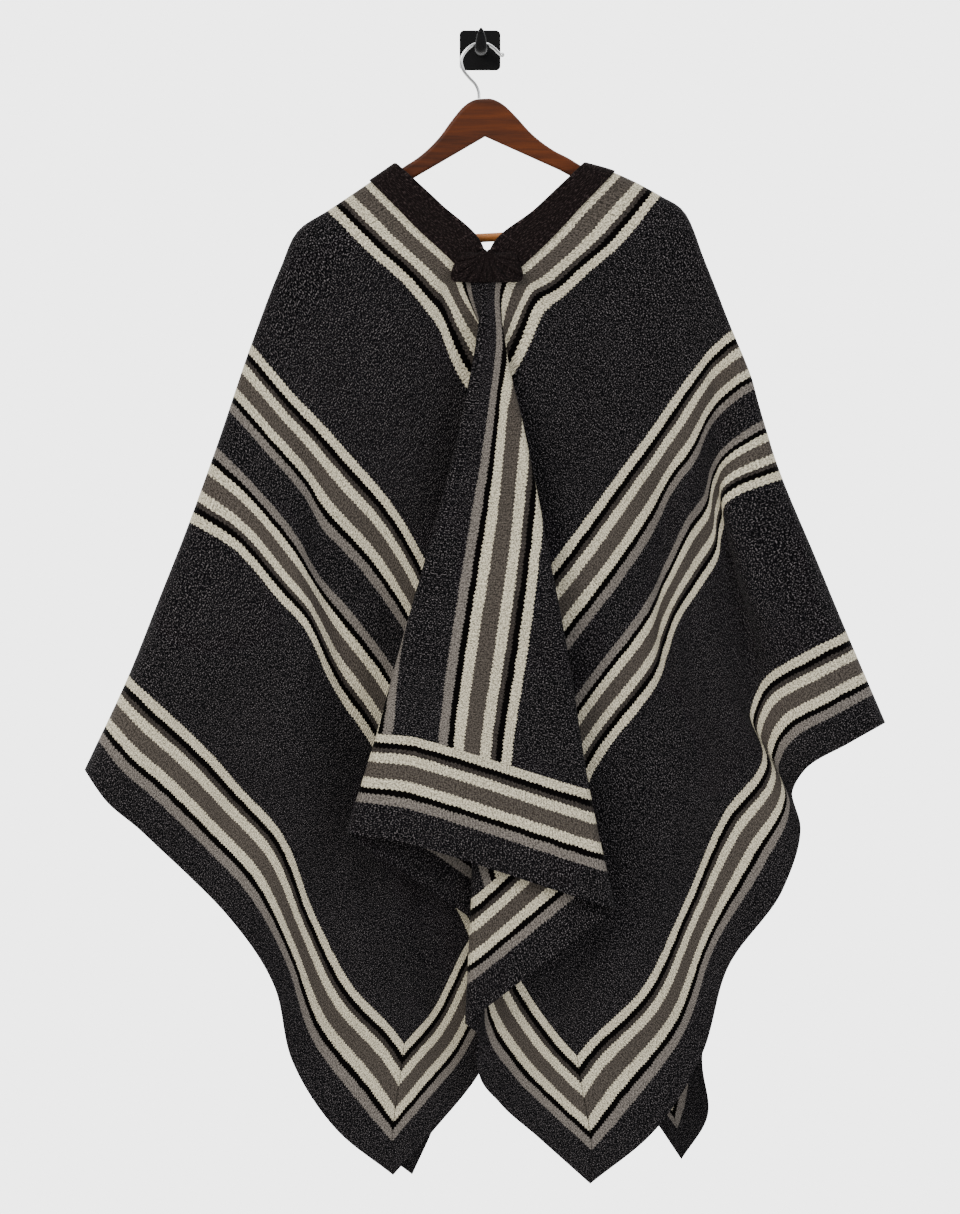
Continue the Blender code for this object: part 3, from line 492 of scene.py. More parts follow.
def linked(name, data):
    # A new object in the scene.
    item = bpy.data.objects.new(name, data)
    bpy.context.scene.collection.objects.link(item)
    return item


def finishedObject(name, form, transform=None):
    if transform:
        form.transform(transform)
    mesh = bpy.data.meshes.new(name)
    form.to_mesh(mesh)
    form.free()
    return linked(name, mesh)


def thicken(item, thickness):
    # Cloth's thickness, half to each side, with a crisp edge all round.
    shell = item.modifiers.new("thickness", "SOLIDIFY")
    shell.thickness = thickness
    shell.offset = 0
    edges = item.modifiers.new("crisp edges", "EDGE_SPLIT")
    edges.split_angle = crispAngle


def dress(item, material, slot, *nodes):
    # The piece's material, and the CAD nodes that it is shown in place of. Its slot is not used.
    item.data.materials.append(materials[material])
    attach(item, "root")
    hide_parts(*nodes)


def linearColour(code):
    # Blender's linear values for an sRGB colour written as hex.
    parts = [int(code[i:i + 2], 16) / 255 for i in (1, 3, 5)]
    return [part / 12.92 if part <= 0.04045 else ((part + 0.055) / 1.055) ** 2.4 for part in parts] + [1.0]


def newMaterial(name):
    # A material, its shader, and the function that adds a node to it.
    material = bpy.data.materials.new(name)
    material.use_nodes = True
    return material, material.node_tree.nodes["Principled BSDF"], partial(addNode, material.node_tree)


def feed(socket, value):
    # A number, colour or socket into an input. A node stands for its first output.
    if isinstance(value, bpy.types.Node):
        value = next(output for output in value.outputs if output.enabled)
    if isinstance(value, bpy.types.NodeSocket):
        socket.id_data.links.new(value, socket)
    else:
        socket.default_value = value


def addNode(tree, kind, *values, sockets=None, **settings):
    # One shader node. Its kind may name its operation or type of data after a point.
    # Values fill its open inputs in order, sockets by name.
    kind, _, variant = kind.partition(".")
    node = tree.nodes.new("ShaderNode" + kind)
    if variant:
        setattr(node, "operation" if hasattr(node, "operation") else "data_type", variant)
    for key, setting in settings.items():
        setattr(node, key, setting)
    openInputs = [socket for socket in node.inputs if socket.enabled]
    for socket, value in zip(openInputs, values):
        feed(socket, value)
    setSockets(node, sockets or {})
    return node


def setSockets(node, values):
    # Values or nodes onto a node's inputs, by name.
    for key, value in values.items():
        feed(node.inputs[key], value)


wool = {
    "charcoal": "#09090B", "charcoalSpeck": "#565253", "black": "#050404",
    "grey": "#625D58", "cream": "#AFA893", "taupe": "#423D38", "darkTaupe": "#312D2A",
    # start of each stripe, measured inwards from its band's outer edge in metres
    "stripes": ((0.0, "grey"), (0.011, "black"), (0.018, "cream"), (0.0295, "taupe"), (0.0485, "cream"),
                (0.060, "darkTaupe"), (0.066, "black"), (0.073, "cream"), (0.084, "charcoal")),
    "bandPair": (0.200, 0.175), "outerPair": (0.6015, 0.1825),   # middle of a mirrored pair, its reach
    "pairSplit": 0.397,
    "toothHeight": 0.0007, "toothPeriod": 0.0046, "wander": 0.0006, "wanderSize": 0.016,
    "yarnWidth": 0.0019, "yarnLength": 0.0028, "speckSize": 0.0015, "ribPeriod": 0.0031, "ribDepth": 0.00035,
    "seamHalf": 0.0012, "seamShade": 0.45, "cloudSize": 0.09,
    # noise range in which specks appear, noise range of the grain and its shades, and other shades
    "specks": (0.54, 0.75), "grain": (0.41, 0.59, 0.35, 1.6), "cloudShades": (0.93, 1.08),
    "ribShades": (0.86, 1.06), "noiseRange": (0.3, 0.7), "napHeight": 4.0, "bump": 0.7,
    # the ramp's scale and start, so that all stripes and the plain cloth beside them fit on it
    "rampScale": 10.0, "rampStart": 0.05,
}
# Wool's nap: hardly any gloss, a trace of fuzz at its outlines
napped = {"Specular IOR Level": 0.02, "Sheen Weight": 0.015, "Sheen Roughness": 0.4}


def wavePattern(add, along, period):
    # A sine along the cloth, from -1 to 1.
    return add("Math.SINE", add("Math.MULTIPLY", along, 2 * math.pi / period))


def stripedWool(name):
    # Handwoven wool: toothed warp stripes, fine cross ribs and a heathered, napped ground.
    material, shader, add = newMaterial(name)
    place = add("SeparateXYZ", add("UVMap", uv_map="clothUV"))
    warp = place.outputs[0]
    section = add("Math.ABSOLUTE", place.outputs[1])
    # In the hem border the stripes run with the hem, and meet the side's stripes at a mitre
    hemWarp = add("Math.SUBTRACT", section, halfLength - halfWidth)
    inBorder = add("Math.GREATER_THAN", section, halfLength - borderWidth)
    isHem = add("Math.MULTIPLY", inBorder, add("Math.GREATER_THAN", hemWarp, warp))
    across = add("Mix", isHem, warp, hemWarp)
    along = add("Mix", isHem, section, warp)
    flatPlace = add("CombineXYZ", across, along, 0.0)
    # Toothed and slightly wandering stripe edges
    teeth = add("Math.MULTIPLY", wavePattern(add, along, wool["toothPeriod"]), wool["toothHeight"])
    drift = add("TexNoise", flatPlace, 1 / wool["wanderSize"], 2.0)
    wander = add("MapRange", drift, *wool["noiseRange"], -wool["wander"], wool["wander"])
    shifted = add("Math.ADD", across, add("Math.ADD", teeth, wander))
    # Both band pairs are mirrored about their middles: distance inwards from the bands' outer edges
    outer = add("Math.GREATER_THAN", across, wool["pairSplit"])
    middle, reach = [add("Mix", outer, wool["bandPair"][i], wool["outerPair"][i]) for i in (0, 1)]
    apart = add("Math.ABSOLUTE", add("Math.SUBTRACT", shifted, middle))
    inwards = add("Math.SUBTRACT", reach, apart)
    bands = add("ValToRGB", add("Math.MULTIPLY_ADD", inwards, wool["rampScale"], wool["rampStart"]))
    ramp = bands.color_ramp
    ramp.interpolation = "CONSTANT"
    ramp.elements[0].color = linearColour(wool["charcoal"])[:3] + [0.0]
    ramp.elements.remove(ramp.elements[1])
    for start, colour in wool["stripes"]:
        step = ramp.elements.new(start * wool["rampScale"] + wool["rampStart"])
        step.color = linearColour(wool[colour])[:3] + [0.0 if colour == "charcoal" else 1.0]
    # Heather: short yarn floats, lighter and darker than the ground
    grainPlace = add("CombineXYZ", add("Math.MULTIPLY", across, 1 / wool["yarnWidth"]),
                     add("Math.MULTIPLY", along, 1 / wool["yarnLength"]), 0.0)
    grain = add("TexNoise", grainPlace, 1.0, 3.0, 0.65)
    specks = add("TexNoise", flatPlace, 1 / wool["speckSize"], 1.0, 0.5)
    speck = add("MapRange", specks, *wool["specks"], 0.0, 1.0)
    ground = add("Mix.RGBA", speck, linearColour(wool["charcoal"]), linearColour(wool["charcoalSpeck"]))
    tinted = add("Mix.RGBA", bands.outputs[1], ground, bands.outputs[0])
    mottle = add("Math.MULTIPLY", add("Math.ADD", grain, specks), 0.5)
    clouds = add("TexNoise", flatPlace, 1 / wool["cloudSize"], 3.0)
    ribs = wavePattern(add, along, wool["ribPeriod"])
    # The mitre's seam, a thin shadow line across the corner
    offMitre = add("Math.ABSOLUTE", add("Math.SUBTRACT", warp, hemWarp))
    onSeam = add("Math.LESS_THAN", offMitre, wool["seamHalf"])
    shade = add("Mix", add("Math.MULTIPLY", onSeam, inBorder), 1.0, wool["seamShade"])
    # Every pattern darkens and lightens the cloth in turn
    for pattern, values in ((mottle, wool["grain"]), (clouds, wool["noiseRange"] + wool["cloudShades"]),
                            (ribs, (-1.0, 1.0) + wool["ribShades"])):
        shade = add("Math.MULTIPLY", shade, add("MapRange", pattern, *values))
    colour = add("VectorMath.SCALE", tinted, sockets={"Scale": shade})
    height = add("Math.MULTIPLY_ADD", mottle, wool["napHeight"], ribs)
    bump = add("Bump", wool["bump"], wool["ribDepth"], sockets={"Height": height})
    setSockets(shader, {"Base Color": colour, "Normal": bump, "Roughness": 0.92, **napped})
    return material


# Both loom widths as they are shown: grid steps over columns and sections (start, end, how many)
cloth = {
    "columns": ((0, 0.8, 8), (0.8, 1, 8), (1, 1.2, 10), (1.2, 1.85, 12), (1.85, 2, 12), (2, 2.15, 12),
                (2.15, 3, 40), (3, 4, 24), (4, 5, 18)),
    "rows": ((0, 40, 14), (40, 180, 26), (180, 270, 18), (270, 864, 92)),
    "unevenness": ((150, 2.2), (62, 0.8)),     # size along the cloth and height, millimetres
    # It starts over this many millimetres from the collar, from the shoulder, and past the inner fold,
    # before which the cloth keeps a share of it
    "calmNeck": 90, "calmShoulder": (15, 80), "calmFold": 60, "foldShare": 0.35,
    "creaseFade": 4,                           # a crease fades out over one part in this many of its length
    # Creases: side, half width, height (a trough is negative), then the line's warp and section
    "creases": (
        ("right", 15, -9, (225, 60), (268, 72), (362, 58), (440, 74), (503, 95), (582, 122), (641, 130),
         (700, 150), (740, 215)),
        ("right", 22, 8, (250, 40), (362, 30), (440, 40), (520, 60), (600, 84), (700, 100)),
        ("right", 24, -7, (297, 156), (370, 215), (443, 294), (503, 330), (560, 420)),
        ("right", 26, 6, (330, 120), (420, 190), (500, 250), (560, 330)),
        ("left", 22, -6, (250, 70), (330, 130), (400, 190), (470, 260), (560, 330)),
        ("left", 30, 6, (300, 40), (380, 100), (470, 170), (560, 240), (640, 330)),
        ("left", 40, -5, (120, 230), (180, 330), (260, 430), (330, 560)),
        ("right", 36, -5, (130, 240), (210, 330), (300, 430), (380, 560)),
        ("left", 26, 5, (600, 420), (650, 560), (700, 700)),
        ("left", 30, -6, (480, 520), (560, 660), (620, 800)),
        ("right", 28, -6, (560, 520), (600, 640), (640, 760)),
        ("left", 30, -7, (260, -90), (340, -200), (420, -330), (500, -480)),
        ("left", 34, 6, (430, -60), (500, -180), (560, -320), (640, -460)),
        ("right", 32, -7, (280, -80), (350, -190), (440, -310), (520, -470)),
        ("right", 30, 6, (520, -50), (600, -170), (660, -300), (700, -430)),
        ("left", 36, -6, (560, -520), (620, -660), (660, -800)),
        ("right", 34, -6, (590, -500), (640, -640), (700, -780)),
    ),
}


def creaseHeight(side, warp, section):
    # Millimetres added along the normal by the creases that lie on this half.
    total = np.zeros_like(warp)
    for creaseSide, halfSpan, height, *line in cloth["creases"]:
        if creaseSide != side:
            continue
        line = np.array(line, float)
        spans, lengths = measured(line)
        nearest = np.full_like(warp, 1e9)
        travelled = np.zeros_like(warp)
        for start, end, span, length in zip(line, line[1:], spans, lengths):
            share = ((warp - start[0]) * (end[0] - start[0]) + (section - start[1]) * (end[1] - start[1]))
            share = np.clip(share / span ** 2, 0, 1)
            away = np.hypot(warp - start[0] - share * (end[0] - start[0]),
                            section - start[1] - share * (end[1] - start[1]))
            closer = away < nearest
            nearest = np.where(closer, away, nearest)
            travelled = np.where(closer, (length + share * span) / lengths[-1], travelled)
        fade = smooth(travelled * cloth["creaseFade"]) * smooth((1 - travelled) * cloth["creaseFade"])
        total += height * np.exp(-(nearest / halfSpan) ** 2) * np.maximum(fade, 0.0)
    return total


def makeHalves():
    # Both loom widths over the shoulder, joined along the centre below the neck slit.
    columns = spanPlaces(cloth["columns"])
    firstSpan = cloth["columns"][0][1]
    down = spanPlaces(cloth["rows"])
    sections = [-section for section in down[:0:-1]] + down
    grids, normals, flats = {}, {}, {}
    joined = smooth((np.abs(sections) - slitEnd) / (joinEnd - slitEnd))[:, None]
    for side, half in halves.items():
        # Along the slit the cloth's edge stays inside the collar's turn
        inset = [(1 - share[0]) * half.column(collar["turnWarp"], section) for share, section in
                 zip(joined, sections)]
        placed = [[max(column, start + column * (1 - start / firstSpan)) if column < firstSpan else column
                   for column in columns] for start in inset]
        grids[side] = np.array([[half.point(column, section) for column in row]
                                for row, section in zip(placed, sections)])
        run = np.cross(np.gradient(grids[side], axis=1), np.gradient(grids[side], axis=0)) * -half.sign
        normals[side] = run / np.linalg.norm(run, axis=2)[:, :, None]
        flats[side] = np.array([[(half.warp(column, section), section) for column in row]
                                for row, section in zip(placed, sections)])
    for table in (grids, normals):
        left, right = table["left"][:, 0].copy(), table["right"][:, 0].copy()
        table["left"][:, 0] = left + (right - left) * joined / 2
        table["right"][:, 0] = right + (left - right) * joined / 2
    for side, half in halves.items():
        warp, section = flats[side][:, :, 0], flats[side][:, :, 1]
        rise = np.zeros_like(warp)
        for size, height in cloth["unevenness"]:
            rise += height * np.array([[noise.noise((half.sign * u / size, v / size, size))
                                        for u, v in row] for row in flats[side]])
        clear = np.maximum(warp - 1000 * collar["width"], np.abs(section) - slitEnd) / cloth["calmNeck"]
        inner = np.array([spline(half.sections, half.marks, place)[2] for place in sections])[:, None]
        hidden = (cloth["foldShare"]
                  + (1 - cloth["foldShare"]) * smooth((warp - inner) / cloth["calmFold"]))
        calmStart, calmReach = cloth["calmShoulder"]
        rise *= smooth(clear) * smooth((np.abs(section) - calmStart) / calmReach) * hidden
        rise += creaseHeight(side, warp, section)
        points = grids[side] + normals[side] * rise[:, :, None] / 1000
        item = formedGrid(f"cloth{side.capitalize()}", points, flats[side] / 1000)
        thicken(item, clothThickness)
        dress(item, "striped", "charcoal_wool", f"panel_front_{side}", f"panel_back_{side}",
              f"border_front_{side}", f"border_back_{side}")


# The neck facing: a strip folded over the slit's edge, one on each side
collar = {
    "width": 0.045, "inside": 0.018, "cut": 0.071, "thickness": 0.0024, "lift": 0.0025, "turnWarp": 3.7,
    "rows": 110, "outsideSteps": 18, "turnSteps": 8, "insideSteps": 8, "asideStep": 3,
    "brown": "#110D0D", "brownSpeck": "#423837", "yarn": 0.0011, "rib": 0.0042, "ribDepth": 0.0004,
    # noise range in which specks appear, share of the yarn's length, shades of the ribs, bump strength
    "specks": (0.54, 0.72), "yarnStretch": 0.4, "ribShades": (0.85, 1.1), "bump": 0.8,
}


def brownWool(name):
    # Brown heathered wool, ribbed along its length, a little warmer and rougher than the body's cloth.
    material, shader, add = newMaterial(name)
    place = add("SeparateXYZ", add("UVMap", uv_map="clothUV"))
    yarns = 1 / collar["yarn"]
    grainPlace = add("CombineXYZ", add("Math.MULTIPLY", place.outputs[0], yarns),
                     add("Math.MULTIPLY", place.outputs[1], collar["yarnStretch"] * yarns), 0.0)
    grain = add("TexNoise", grainPlace, 1.0, 2.0, 0.6)
    speck = add("MapRange", grain, *collar["specks"], 0.0, 1.0)
    ribs = wavePattern(add, place.outputs[0], collar["rib"])
    ground = add("Mix.RGBA", speck, linearColour(collar["brown"]), linearColour(collar["brownSpeck"]))
    shade = add("MapRange", ribs, -1.0, 1.0, *collar["ribShades"])
    colour = add("VectorMath.SCALE", ground, sockets={"Scale": shade})
    bump = add("Bump", collar["bump"], collar["ribDepth"], sockets={"Height": add("Math.ADD", ribs, grain)})
    setSockets(shader, {"Base Color": colour, "Normal": bump, "Roughness": 0.95, **napped})
    return material


def makeCollar(side):
    # Its path runs in from the outside, round the slit's edge and back along the inside.
    half = halves[side]
    turnWarp = collar["turnWarp"]
    outside = np.linspace(1000 * collar["width"], turnWarp, collar["outsideSteps"], endpoint=False)
    path = [(warp, 0.0) for warp in outside]
    path += [(turnWarp, math.pi * i / collar["turnSteps"]) for i in range(collar["turnSteps"] + 1)]
    path += [(turnWarp + 1000 * collar["inside"] * (i + 1) / collar["insideSteps"], math.pi)
             for i in range(collar["insideSteps"])]
    points, flats = [], []
    for row in range(collar["rows"] + 1):
        section = slitEnd * (2 * row / collar["rows"] - 1)
        points.append([])
        flats.append([])
        for warp, turn in path:
            column = half.column(warp, section)
            place, normal = half.point(column, section), half.normal(column, section)
            aside = half.point(half.column(warp + collar["asideStep"], section), section) - place
            aside -= normal * aside.dot(normal)
            aside /= np.linalg.norm(aside)
            away = normal * math.cos(turn) - aside * math.sin(turn)
            points[-1].append(place + away * collar["lift"])
            flats[-1].append(((-warp if turn < 1 else warp) / 1000, section / 1000))
    item = formedGrid(f"collar{side.capitalize()}", points, np.array(flats))
    thicken(item, collar["thickness"])
    dress(item, "brown", "brown_wool", f"collar_{side}")


# The fan of small pleats sewn over each end of the neck slit: grid steps, and millimetres for depths
gather = {
    "centre": (7, 207), "reach": (28, 27), "flare": 10, "flareSpeed": 1.6, "squareness": 9,
    "sweep": math.radians(105), "opening": (0.1, 0.25), "pleats": 11, "wobble": (0.16, 2.3),
    "back": {"front": 43.1, "back": 37.0}, "slope": 0.06, "rim": 5, "middle": 9,
    "pleatHeight": 2.3, "pleatSharpness": 0.8, "pleatRise": 2.2,
    # where the rim turns in and how thick it is left; how deep the top sinks, and from where
    "turnIn": (0.9, 2.4), "sink": (4, 0.2, 0.3), "sinkFrom": math.radians(78),
    "centreShare": 0.004, "rings": 20, "pleatSteps": 12, "thickness": 0.0020, "flat": (0.09, 0.07),
}


def makeGather(name):
    facing = 1 if name == "front" else -1
    steps = gather["pleats"] * gather["pleatSteps"]
    openFrom, openOver = gather["opening"]
    wobble, wobbleSpeed = gather["wobble"]
    turnFrom, turnedThick = gather["turnIn"]
    sinkDepth, sinkStart, sinkOver = gather["sink"]
    points, flats = [], []
    for ring in range(gather["rings"] + 1):
        share = gather["centreShare"] + (1 - gather["centreShare"]) * ring / gather["rings"]
        points.append([])
        flats.append([])
        opened = float(smooth((share - openFrom) / openOver))
        sweep = math.pi + (gather["sweep"] - math.pi) * opened
        for i in range(steps + 1):
            angle = sweep * (2 * i / steps - 1)
            side, below = math.sin(angle), math.cos(angle)
            # Its sides flare towards the bottom edge
            flare = max(-1.0, min(1.0, below * gather["flareSpeed"]))
            wide = gather["reach"][0] + gather["flare"] * flare
            parts = [abs(side / wide) ** gather["squareness"],
                     abs(below / gather["reach"][1]) ** gather["squareness"]]
            reach = share * sum(parts) ** (-1 / gather["squareness"])
            turns = i / gather["pleatSteps"]
            turns += wobble * math.sin(wobbleSpeed * turns)
            ridge = abs(math.cos(math.pi * turns)) ** gather["pleatSharpness"] - 0.5
            thick = gather["rim"] + (gather["middle"] - gather["rim"]) * (1 - share * share)
            thick += 2 * gather["pleatHeight"] * ridge * float(smooth(share * gather["pleatRise"]))
            turnedIn = float(smooth((share - turnFrom) / (1 - turnFrom)))
            thick -= turnedIn * (thick - turnedThick)
            # Its upper edge sinks into the collars, which run into it
            sunk = float(smooth((abs(angle) - gather["sinkFrom"]) / (gather["sweep"] - gather["sinkFrom"])))
            thick -= sunk * (thick + sinkDepth) * float(smooth((share - sinkStart) / sinkOver))
            depth = gather["back"][name] + gather["slope"] * reach * below + thick
            x, z = ((gather["centre"][0] + reach * side) * gridStep,
                    -(gather["centre"][1] + reach * below) * gridStep)
            points[-1].append((x, -hangerPlane - facing * depth / 1000, z))
            flats[-1].append((i / steps * gather["flat"][0], share * gather["flat"][1]))
    item = formedGrid(f"neckGather{name.capitalize()}", points, np.array(flats))
    thicken(item, gather["thickness"])
    dress(item, "brown", "brown_wool", f"neck_gather_{name}")


# The wooden hanger: its outline in grid steps from its own top, and what it carries
hanger = {
    "top": (3, 50), "tilt": math.radians(3.0), "clearance": 0.0012,
    "crown": ((0, 0), (8, 0.4), (19, 6), (32, 19.5), (45, 35.5), (57, 47), (69, 56), (82, 63.5)),
    "carried": (97, 112, 128, 145, 162, 178, 188),
    "ridge": (0, 3, 60),       # columns between which the shoulder is followed, and how many places
    "end": ((192, 136), (191, 143), (186, 147), (162, 147), (160, 145), (160, 130), (156, 125)),
    "underside": ((150, 121), (82, 81), (72, 75), (0, 38)),
    "thickness": 0.014, "bevel": 0.0045, "bevelSteps": 5, "smoothSteps": 4,
    "barDrop": 139, "barReach": 160, "barRadius": 0.0052, "barGap": 0.0003, "barSegments": 32,
    "dark": "#301405", "light": "#522508", "bar": "#8A5226", "barLight": "#A56C36",
    # how much the fine and the broad streaks are drawn out, and the noise range they are taken from
    "streaks": (14.0, 260.0, 260.0), "broadStreaks": (5.0, 60.0, 60.0), "grain": (0.36, 0.64),
    "grainBump": 0.25, "grainDepth": 0.0002,
}


def grainedWood(name, dark, light, roughness, coat):
    # Straight-grained wood: long soft streaks along the piece under a thin varnish.
    material, shader, add = newMaterial(name)
    coordinates = add("TexCoord").outputs["Object"]
    fine, wide = [add("VectorMath.MULTIPLY", coordinates, hanger[key]) for key in ("streaks", "broadStreaks")]
    streaks = add("TexNoise", fine, 1.0, 5.0, 0.6)
    broad = add("TexNoise", wide, 1.0, 2.0)
    mixed = add("Math.MULTIPLY", add("Math.ADD", streaks, broad), 0.5)
    share = add("MapRange", mixed, *hanger["grain"], 0.0, 1.0)
    colour = add("Mix.RGBA", share, linearColour(dark), linearColour(light))
    bump = add("Bump", hanger["grainBump"], hanger["grainDepth"], sockets={"Height": streaks})
    setSockets(shader, {"Base Color": colour, "Normal": bump, "Roughness": roughness,
                        "Specular IOR Level": 0.15, "Coat Weight": coat, "Coat Roughness": 0.3})
    return material


def hangerPlace():
    # The hanger's own axes in the world.
    x, y = hanger["top"]
    return (Matrix.Translation((x * gridStep, -hangerPlane, -y * gridStep))
            @ Matrix.Rotation(-hanger["tilt"], 4, "Y"))


def hangerOutline():
    # Outline of the wood in x and z on its own axes. Its top follows the lower of both shoulders.
    toHanger = hangerPlace().inverted()
    shoulders = []
    for half in halves.values():
        ridge = [toHanger @ Vector(half.point(column, 0)) for column in np.linspace(*hanger["ridge"])]
        shoulders.append(([abs(point.x) for point in ridge], [point.z for point in ridge]))
    right = [(x * gridStep, -y * gridStep) for x, y in hanger["crown"]]
    for distance in hanger["carried"]:
        x = distance * gridStep
        heights = [min(np.interp(place, *shoulder) for shoulder in shoulders) for place in (x, x + gridStep)]
        slope = math.hypot(1, (heights[1] - heights[0]) / gridStep)
        right.append((x, heights[0] - (clothThickness / 2 + hanger["clearance"]) * slope))
    top = np.array(right)
    places = np.linspace(top[0, 0], top[-1, 0], hanger["smoothSteps"] * len(top))
    right = [(x, float(spline(top[:, 0], top[:, 1:], x)[0])) for x in places]
    right += [(x * gridStep, -y * gridStep) for x, y in hanger["end"] + hanger["underside"]]
    return right + [(-x, z) for x, z in reversed(right[1:-1])]


def bevelledSlab(name, outline, back, front, bevel, steps, transform=None):
    # A flat outline in x and z, extruded in y, with every long edge rounded.
    form = bmesh.new()
    face = form.faces.new([form.verts.new((x, back, z)) for x, z in outline])
    grown = bmesh.ops.extrude_face_region(form, geom=[face])
    bmesh.ops.translate(form, vec=(0, front - back, 0),
                        verts=[item for item in grown["geom"] if isinstance(item, bmesh.types.BMVert)])
    bmesh.ops.recalc_face_normals(form, faces=form.faces)
    rims = [edge for edge in form.edges if abs(edge.verts[0].co.y - edge.verts[1].co.y) < 1e-6]
    bmesh.ops.bevel(form, geom=rims, offset=bevel, offset_type="OFFSET", segments=steps, profile=0.5,
                    affect="EDGES", clamp_overlap=True, material=-1)
    for face in form.faces:
        face.smooth = abs(face.normal.y) < 0.999
    return finishedObject(name, form, transform)


def tube(name, route, radii, around=20):
    # Round sections along a route, square to it. Each radius is one number, or two for an oval.
    route = np.asarray(route, float)
    heading = np.gradient(route, axis=0)
    heading /= np.linalg.norm(heading, axis=1)[:, None]
    points = []
    for centre, ahead, radius in zip(route, heading, radii):
        wide, high = radius if isinstance(radius, (tuple, list, np.ndarray)) else (radius, radius)
        aside = np.array((0.0, 1.0, 0.0)) if abs(ahead[1]) < 0.2 else np.array((1.0, 0.0, 0.0))
        aside = aside - ahead * aside.dot(ahead)
        aside /= np.linalg.norm(aside)
        up = np.cross(ahead, aside)
        points.append([centre + aside * wide * math.cos(turn) + up * high * math.sin(turn)
                       for turn in (2 * math.pi * i / around for i in range(around + 1))])
    return formedGrid(name, points, wrapped=True)


def makeHanger():
    place = hangerPlace()
    half = hanger["thickness"] / 2
    board = bevelledSlab("hangerBoard", hangerOutline(), half, -half, hanger["bevel"],
                         hanger["bevelSteps"], place)
    form = bmesh.new()
    bmesh.ops.create_cone(form, cap_ends=True, segments=hanger["barSegments"], radius1=hanger["barRadius"],
                          radius2=hanger["barRadius"],
                          depth=2 * (hanger["barReach"] * gridStep - hanger["barGap"]),
                          matrix=Matrix.Translation((0, 0, -hanger["barDrop"] * gridStep))
                          @ Matrix.Rotation(math.pi / 2, 4, "Y"))
    for face in form.faces:
        face.smooth = len(face.verts) == 4
    bar = finishedObject("hangerBar", form, place)
    dress(board, "stain", "stained_wood", "hanger_body")
    dress(bar, "barWood", "plain_wood", "hanger_bar")


# The hanger's hook: a bent wire with a ball at its tip, in grid steps from the ball to the wood
wire = {
    "route": ((24.6, 6.8), (20, 5.0), (14.3, -0.3), (7.6, -4.6), (1, -5.8), (-6.2, -4.2), (-14, 1.5),
              (-18.8, 10.4), (-17, 20.7), (-10.7, 29.1), (-4.5, 35.9), (-1.6, 42.5), (-1, 49.8)),
    "radius": 0.0019, "tipRadius": 0.0029, "rings": 90, "colour": "#C9CACA",
    "tipTurn": (0.12, 2.5, 14),      # part of the ball's outline that has its own rings, and how many
}


def plainFinish(name, colour, roughness, metallic, specular=0.5):
    # One even surface.
    material, shader, _ = newMaterial(name)
    setSockets(shader, {"Base Color": linearColour(colour), "Roughness": roughness,
                        "Metallic": metallic, "Specular IOR Level": specular})
    return material


def makeHook():
    route = np.array([(x * gridStep, -y * gridStep) for x, y in wire["route"]])
    _, lengths = measured(route)
    ball = [wire["tipRadius"] * (1 - math.cos(turn)) for turn in np.linspace(*wire["tipTurn"])]
    places = ball + list(np.linspace(ball[-1] + wire["radius"] / 2, lengths[-1], wire["rings"]))
    centres, radii = [], []
    for place in places:
        x, z = spline(lengths, route, place)
        centres.append((x, -hangerPlane, z))
        roundTip = math.sqrt(max(0, wire["tipRadius"] ** 2 - (place - wire["tipRadius"]) ** 2))
        radii.append(roundTip if place < wire["tipRadius"] else max(wire["radius"], roundTip))
    item = tube("hangerHook", centres, radii)
    dress(item, "steel", "bright_steel", "hanger_hook")


# The wall hook: a tongue that runs out from its plate and turns up to a rounded tip, metres from the wall
wallHook = {
    # out, height, half width, half thickness
    "route": ((0.0075, -0.0014, 0.0066, 0.0055), (0.0300, -0.0018, 0.0064, 0.0052),
              (0.0500, -0.0012, 0.0070, 0.0052), (0.0600, -0.0007, 0.0073, 0.0050),
              (0.0668, 0.0015, 0.0072, 0.0047), (0.0702, 0.0064, 0.0067, 0.0044),
              (0.0718, 0.0122, 0.0057, 0.0041), (0.0733, 0.0178, 0.0043, 0.0035),
              (0.0741, 0.0218, 0.0030, 0.0027), (0.0745, 0.0243, 0.0009, 0.0008)),
    "x": 0.0012, "rings": 60, "width": 0.048, "height": 0.047, "thickness": 0.008, "corner": 0.0055,
    "bevel": 0.0012, "bevelSteps": 3, "cornerSteps": 8, "around": 28, "black": "#020203",
}


def makeWallHook():
    route = np.array(wallHook["route"])
    _, lengths = measured(route[:, :2])
    swept = np.array([spline(lengths, route, place)
                      for place in np.linspace(0, lengths[-1], wallHook["rings"])])
    hook = tube("wallHook", [(wallHook["x"], -out, high) for out, high, _, _ in swept], swept[:, 2:],
                wallHook["around"])
    outline = []
    wide = wallHook["width"] / 2 - wallHook["corner"]
    high = wallHook["height"] / 2 - wallHook["corner"]
    for corner, (x, z) in enumerate(((wide, high), (-wide, high), (-wide, -high), (wide, -high))):
        for step in range(wallHook["cornerSteps"] + 1):
            turn = math.pi / 2 * (corner + step / wallHook["cornerSteps"])
            outline.append((x + wallHook["corner"] * math.cos(turn), z + wallHook["corner"] * math.sin(turn)))
    plate = bevelledSlab("wallPlate", outline, 0, -wallHook["thickness"], wallHook["bevel"],
                         wallHook["bevelSteps"])
    dress(hook, "blackPaint", "black_paint", "wall_hook")
    dress(plate, "blackPaint", "black_paint", "wall_plate")


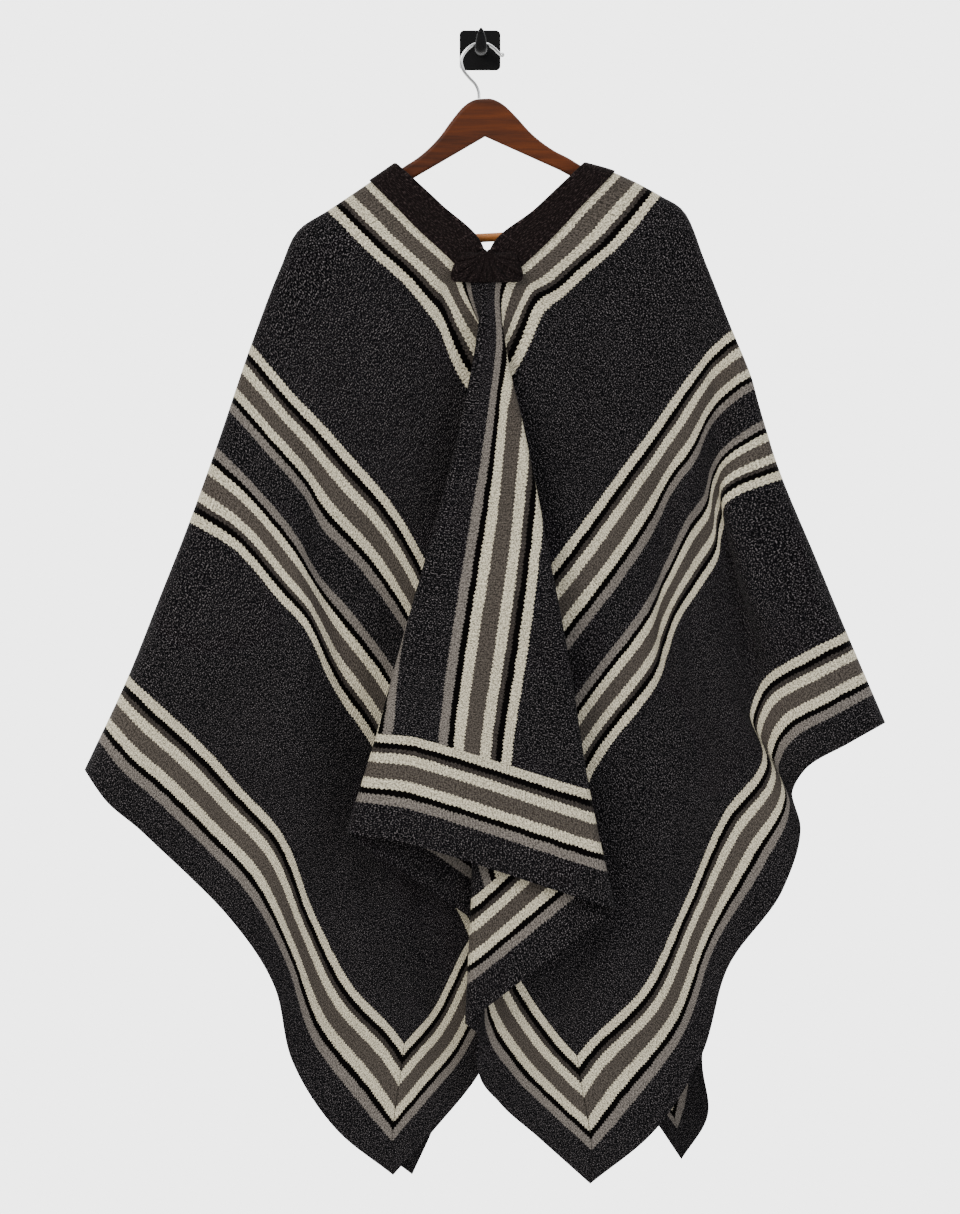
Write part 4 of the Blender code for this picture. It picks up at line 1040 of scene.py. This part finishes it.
stage = {
    "floorHeight": -1.90, "floorRadius": 3.0, "segments": 96, "floor": "#E9E8E6", "world": "#FFFFFF",
    "behind": 4.0, "around": 0.55, "turnFrom": -0.1, "turnTo": 0.5,
    # name, place, size, power, colour
    "lights": (
        ("key", (-2.2, -3.4, 1.2), 2.2, 150.0, "#FFFBF5"),
        ("fill", (2.6, -3.4, -0.2), 2.6, 60.0, "#F6F8FF"),
        ("above", (0.2, -1.4, 2.4), 1.8, 40.0, "#FFFFFF"),
    ),
    "aim": (0.0, -0.08, -0.60),
}


def makeStage():
    form = bmesh.new()
    bmesh.ops.create_circle(form, cap_ends=True, segments=stage["segments"], radius=stage["floorRadius"],
                            matrix=Matrix.Translation((0, 0, stage["floorHeight"])))
    floor = finishedObject("floor", form)
    floor.data.materials.append(plainFinish("matt pale studio floor", stage["floor"], 0.9, 0.0))
    for name, place, size, power, colour in stage["lights"]:
        lamp = bpy.data.lights.new(name, "AREA")
        lamp.shape = "DISK"
        lamp.size = size
        lamp.energy = power
        lamp.color = linearColour(colour)[:3]
        item = linked(name, lamp)
        item.location = place
        item.rotation_euler = (Vector(stage["aim"]) - Vector(place)).to_track_quat("-Z", "Y").to_euler()
    world = bpy.data.worlds.new("studio")
    world.use_nodes = True
    # A bright wall of light behind the object, softer light from everywhere else
    add = partial(addNode, world.node_tree)
    direction = add("SeparateXYZ", add("TexCoord").outputs["Generated"])
    strength = add("MapRange", direction.outputs[1], stage["turnFrom"], stage["turnTo"],
                   stage["around"], stage["behind"], interpolation_type="SMOOTHSTEP")
    setSockets(world.node_tree.nodes["Background"],
               {"Color": linearColour(stage["world"]), "Strength": strength})
    bpy.context.scene.world = world


# The camera stands level and very far off, so the view is nearly flat
view = {"x": 0.0, "height": -0.654, "away": 20.09, "lens": 506.9, "sensor": 36.0}


def makeCamera():
    camera = bpy.data.cameras.new("camera")
    camera.lens = view["lens"]
    camera.sensor_width = view["sensor"]
    item = linked("camera", camera)
    item.location = (view["x"], -view["away"], view["height"])
    item.rotation_euler = (math.pi / 2, 0, 0)
    bpy.context.scene.camera = item


halves = {"left": Half("left"), "right": Half("right")}
materials = {
    "striped": stripedWool("handwoven striped wool"),
    "brown": brownWool("ribbed brown wool"),
    "stain": grainedWood("mahogany-stained wood", hanger["dark"], hanger["light"], 0.5, 0.03),
    "barWood": grainedWood("plain varnished wood", hanger["bar"], hanger["barLight"], 0.45, 0.2),
    "steel": plainFinish("bright plated steel", wire["colour"], 0.18, 1.0),
    "blackPaint": plainFinish("black powder-coated steel", wallHook["black"], 0.6, 0.0, 0.12),
}
print("stage: materials made")
makeHalves()
print("stage: cloth made")
for side in halves:
    makeCollar(side)
for name in gather["back"]:
    makeGather(name)
print("stage: collars and gathers made")
makeHanger()
makeHook()
makeWallHook()
print("stage: hanger and hooks made")
makeStage()
makeCamera()
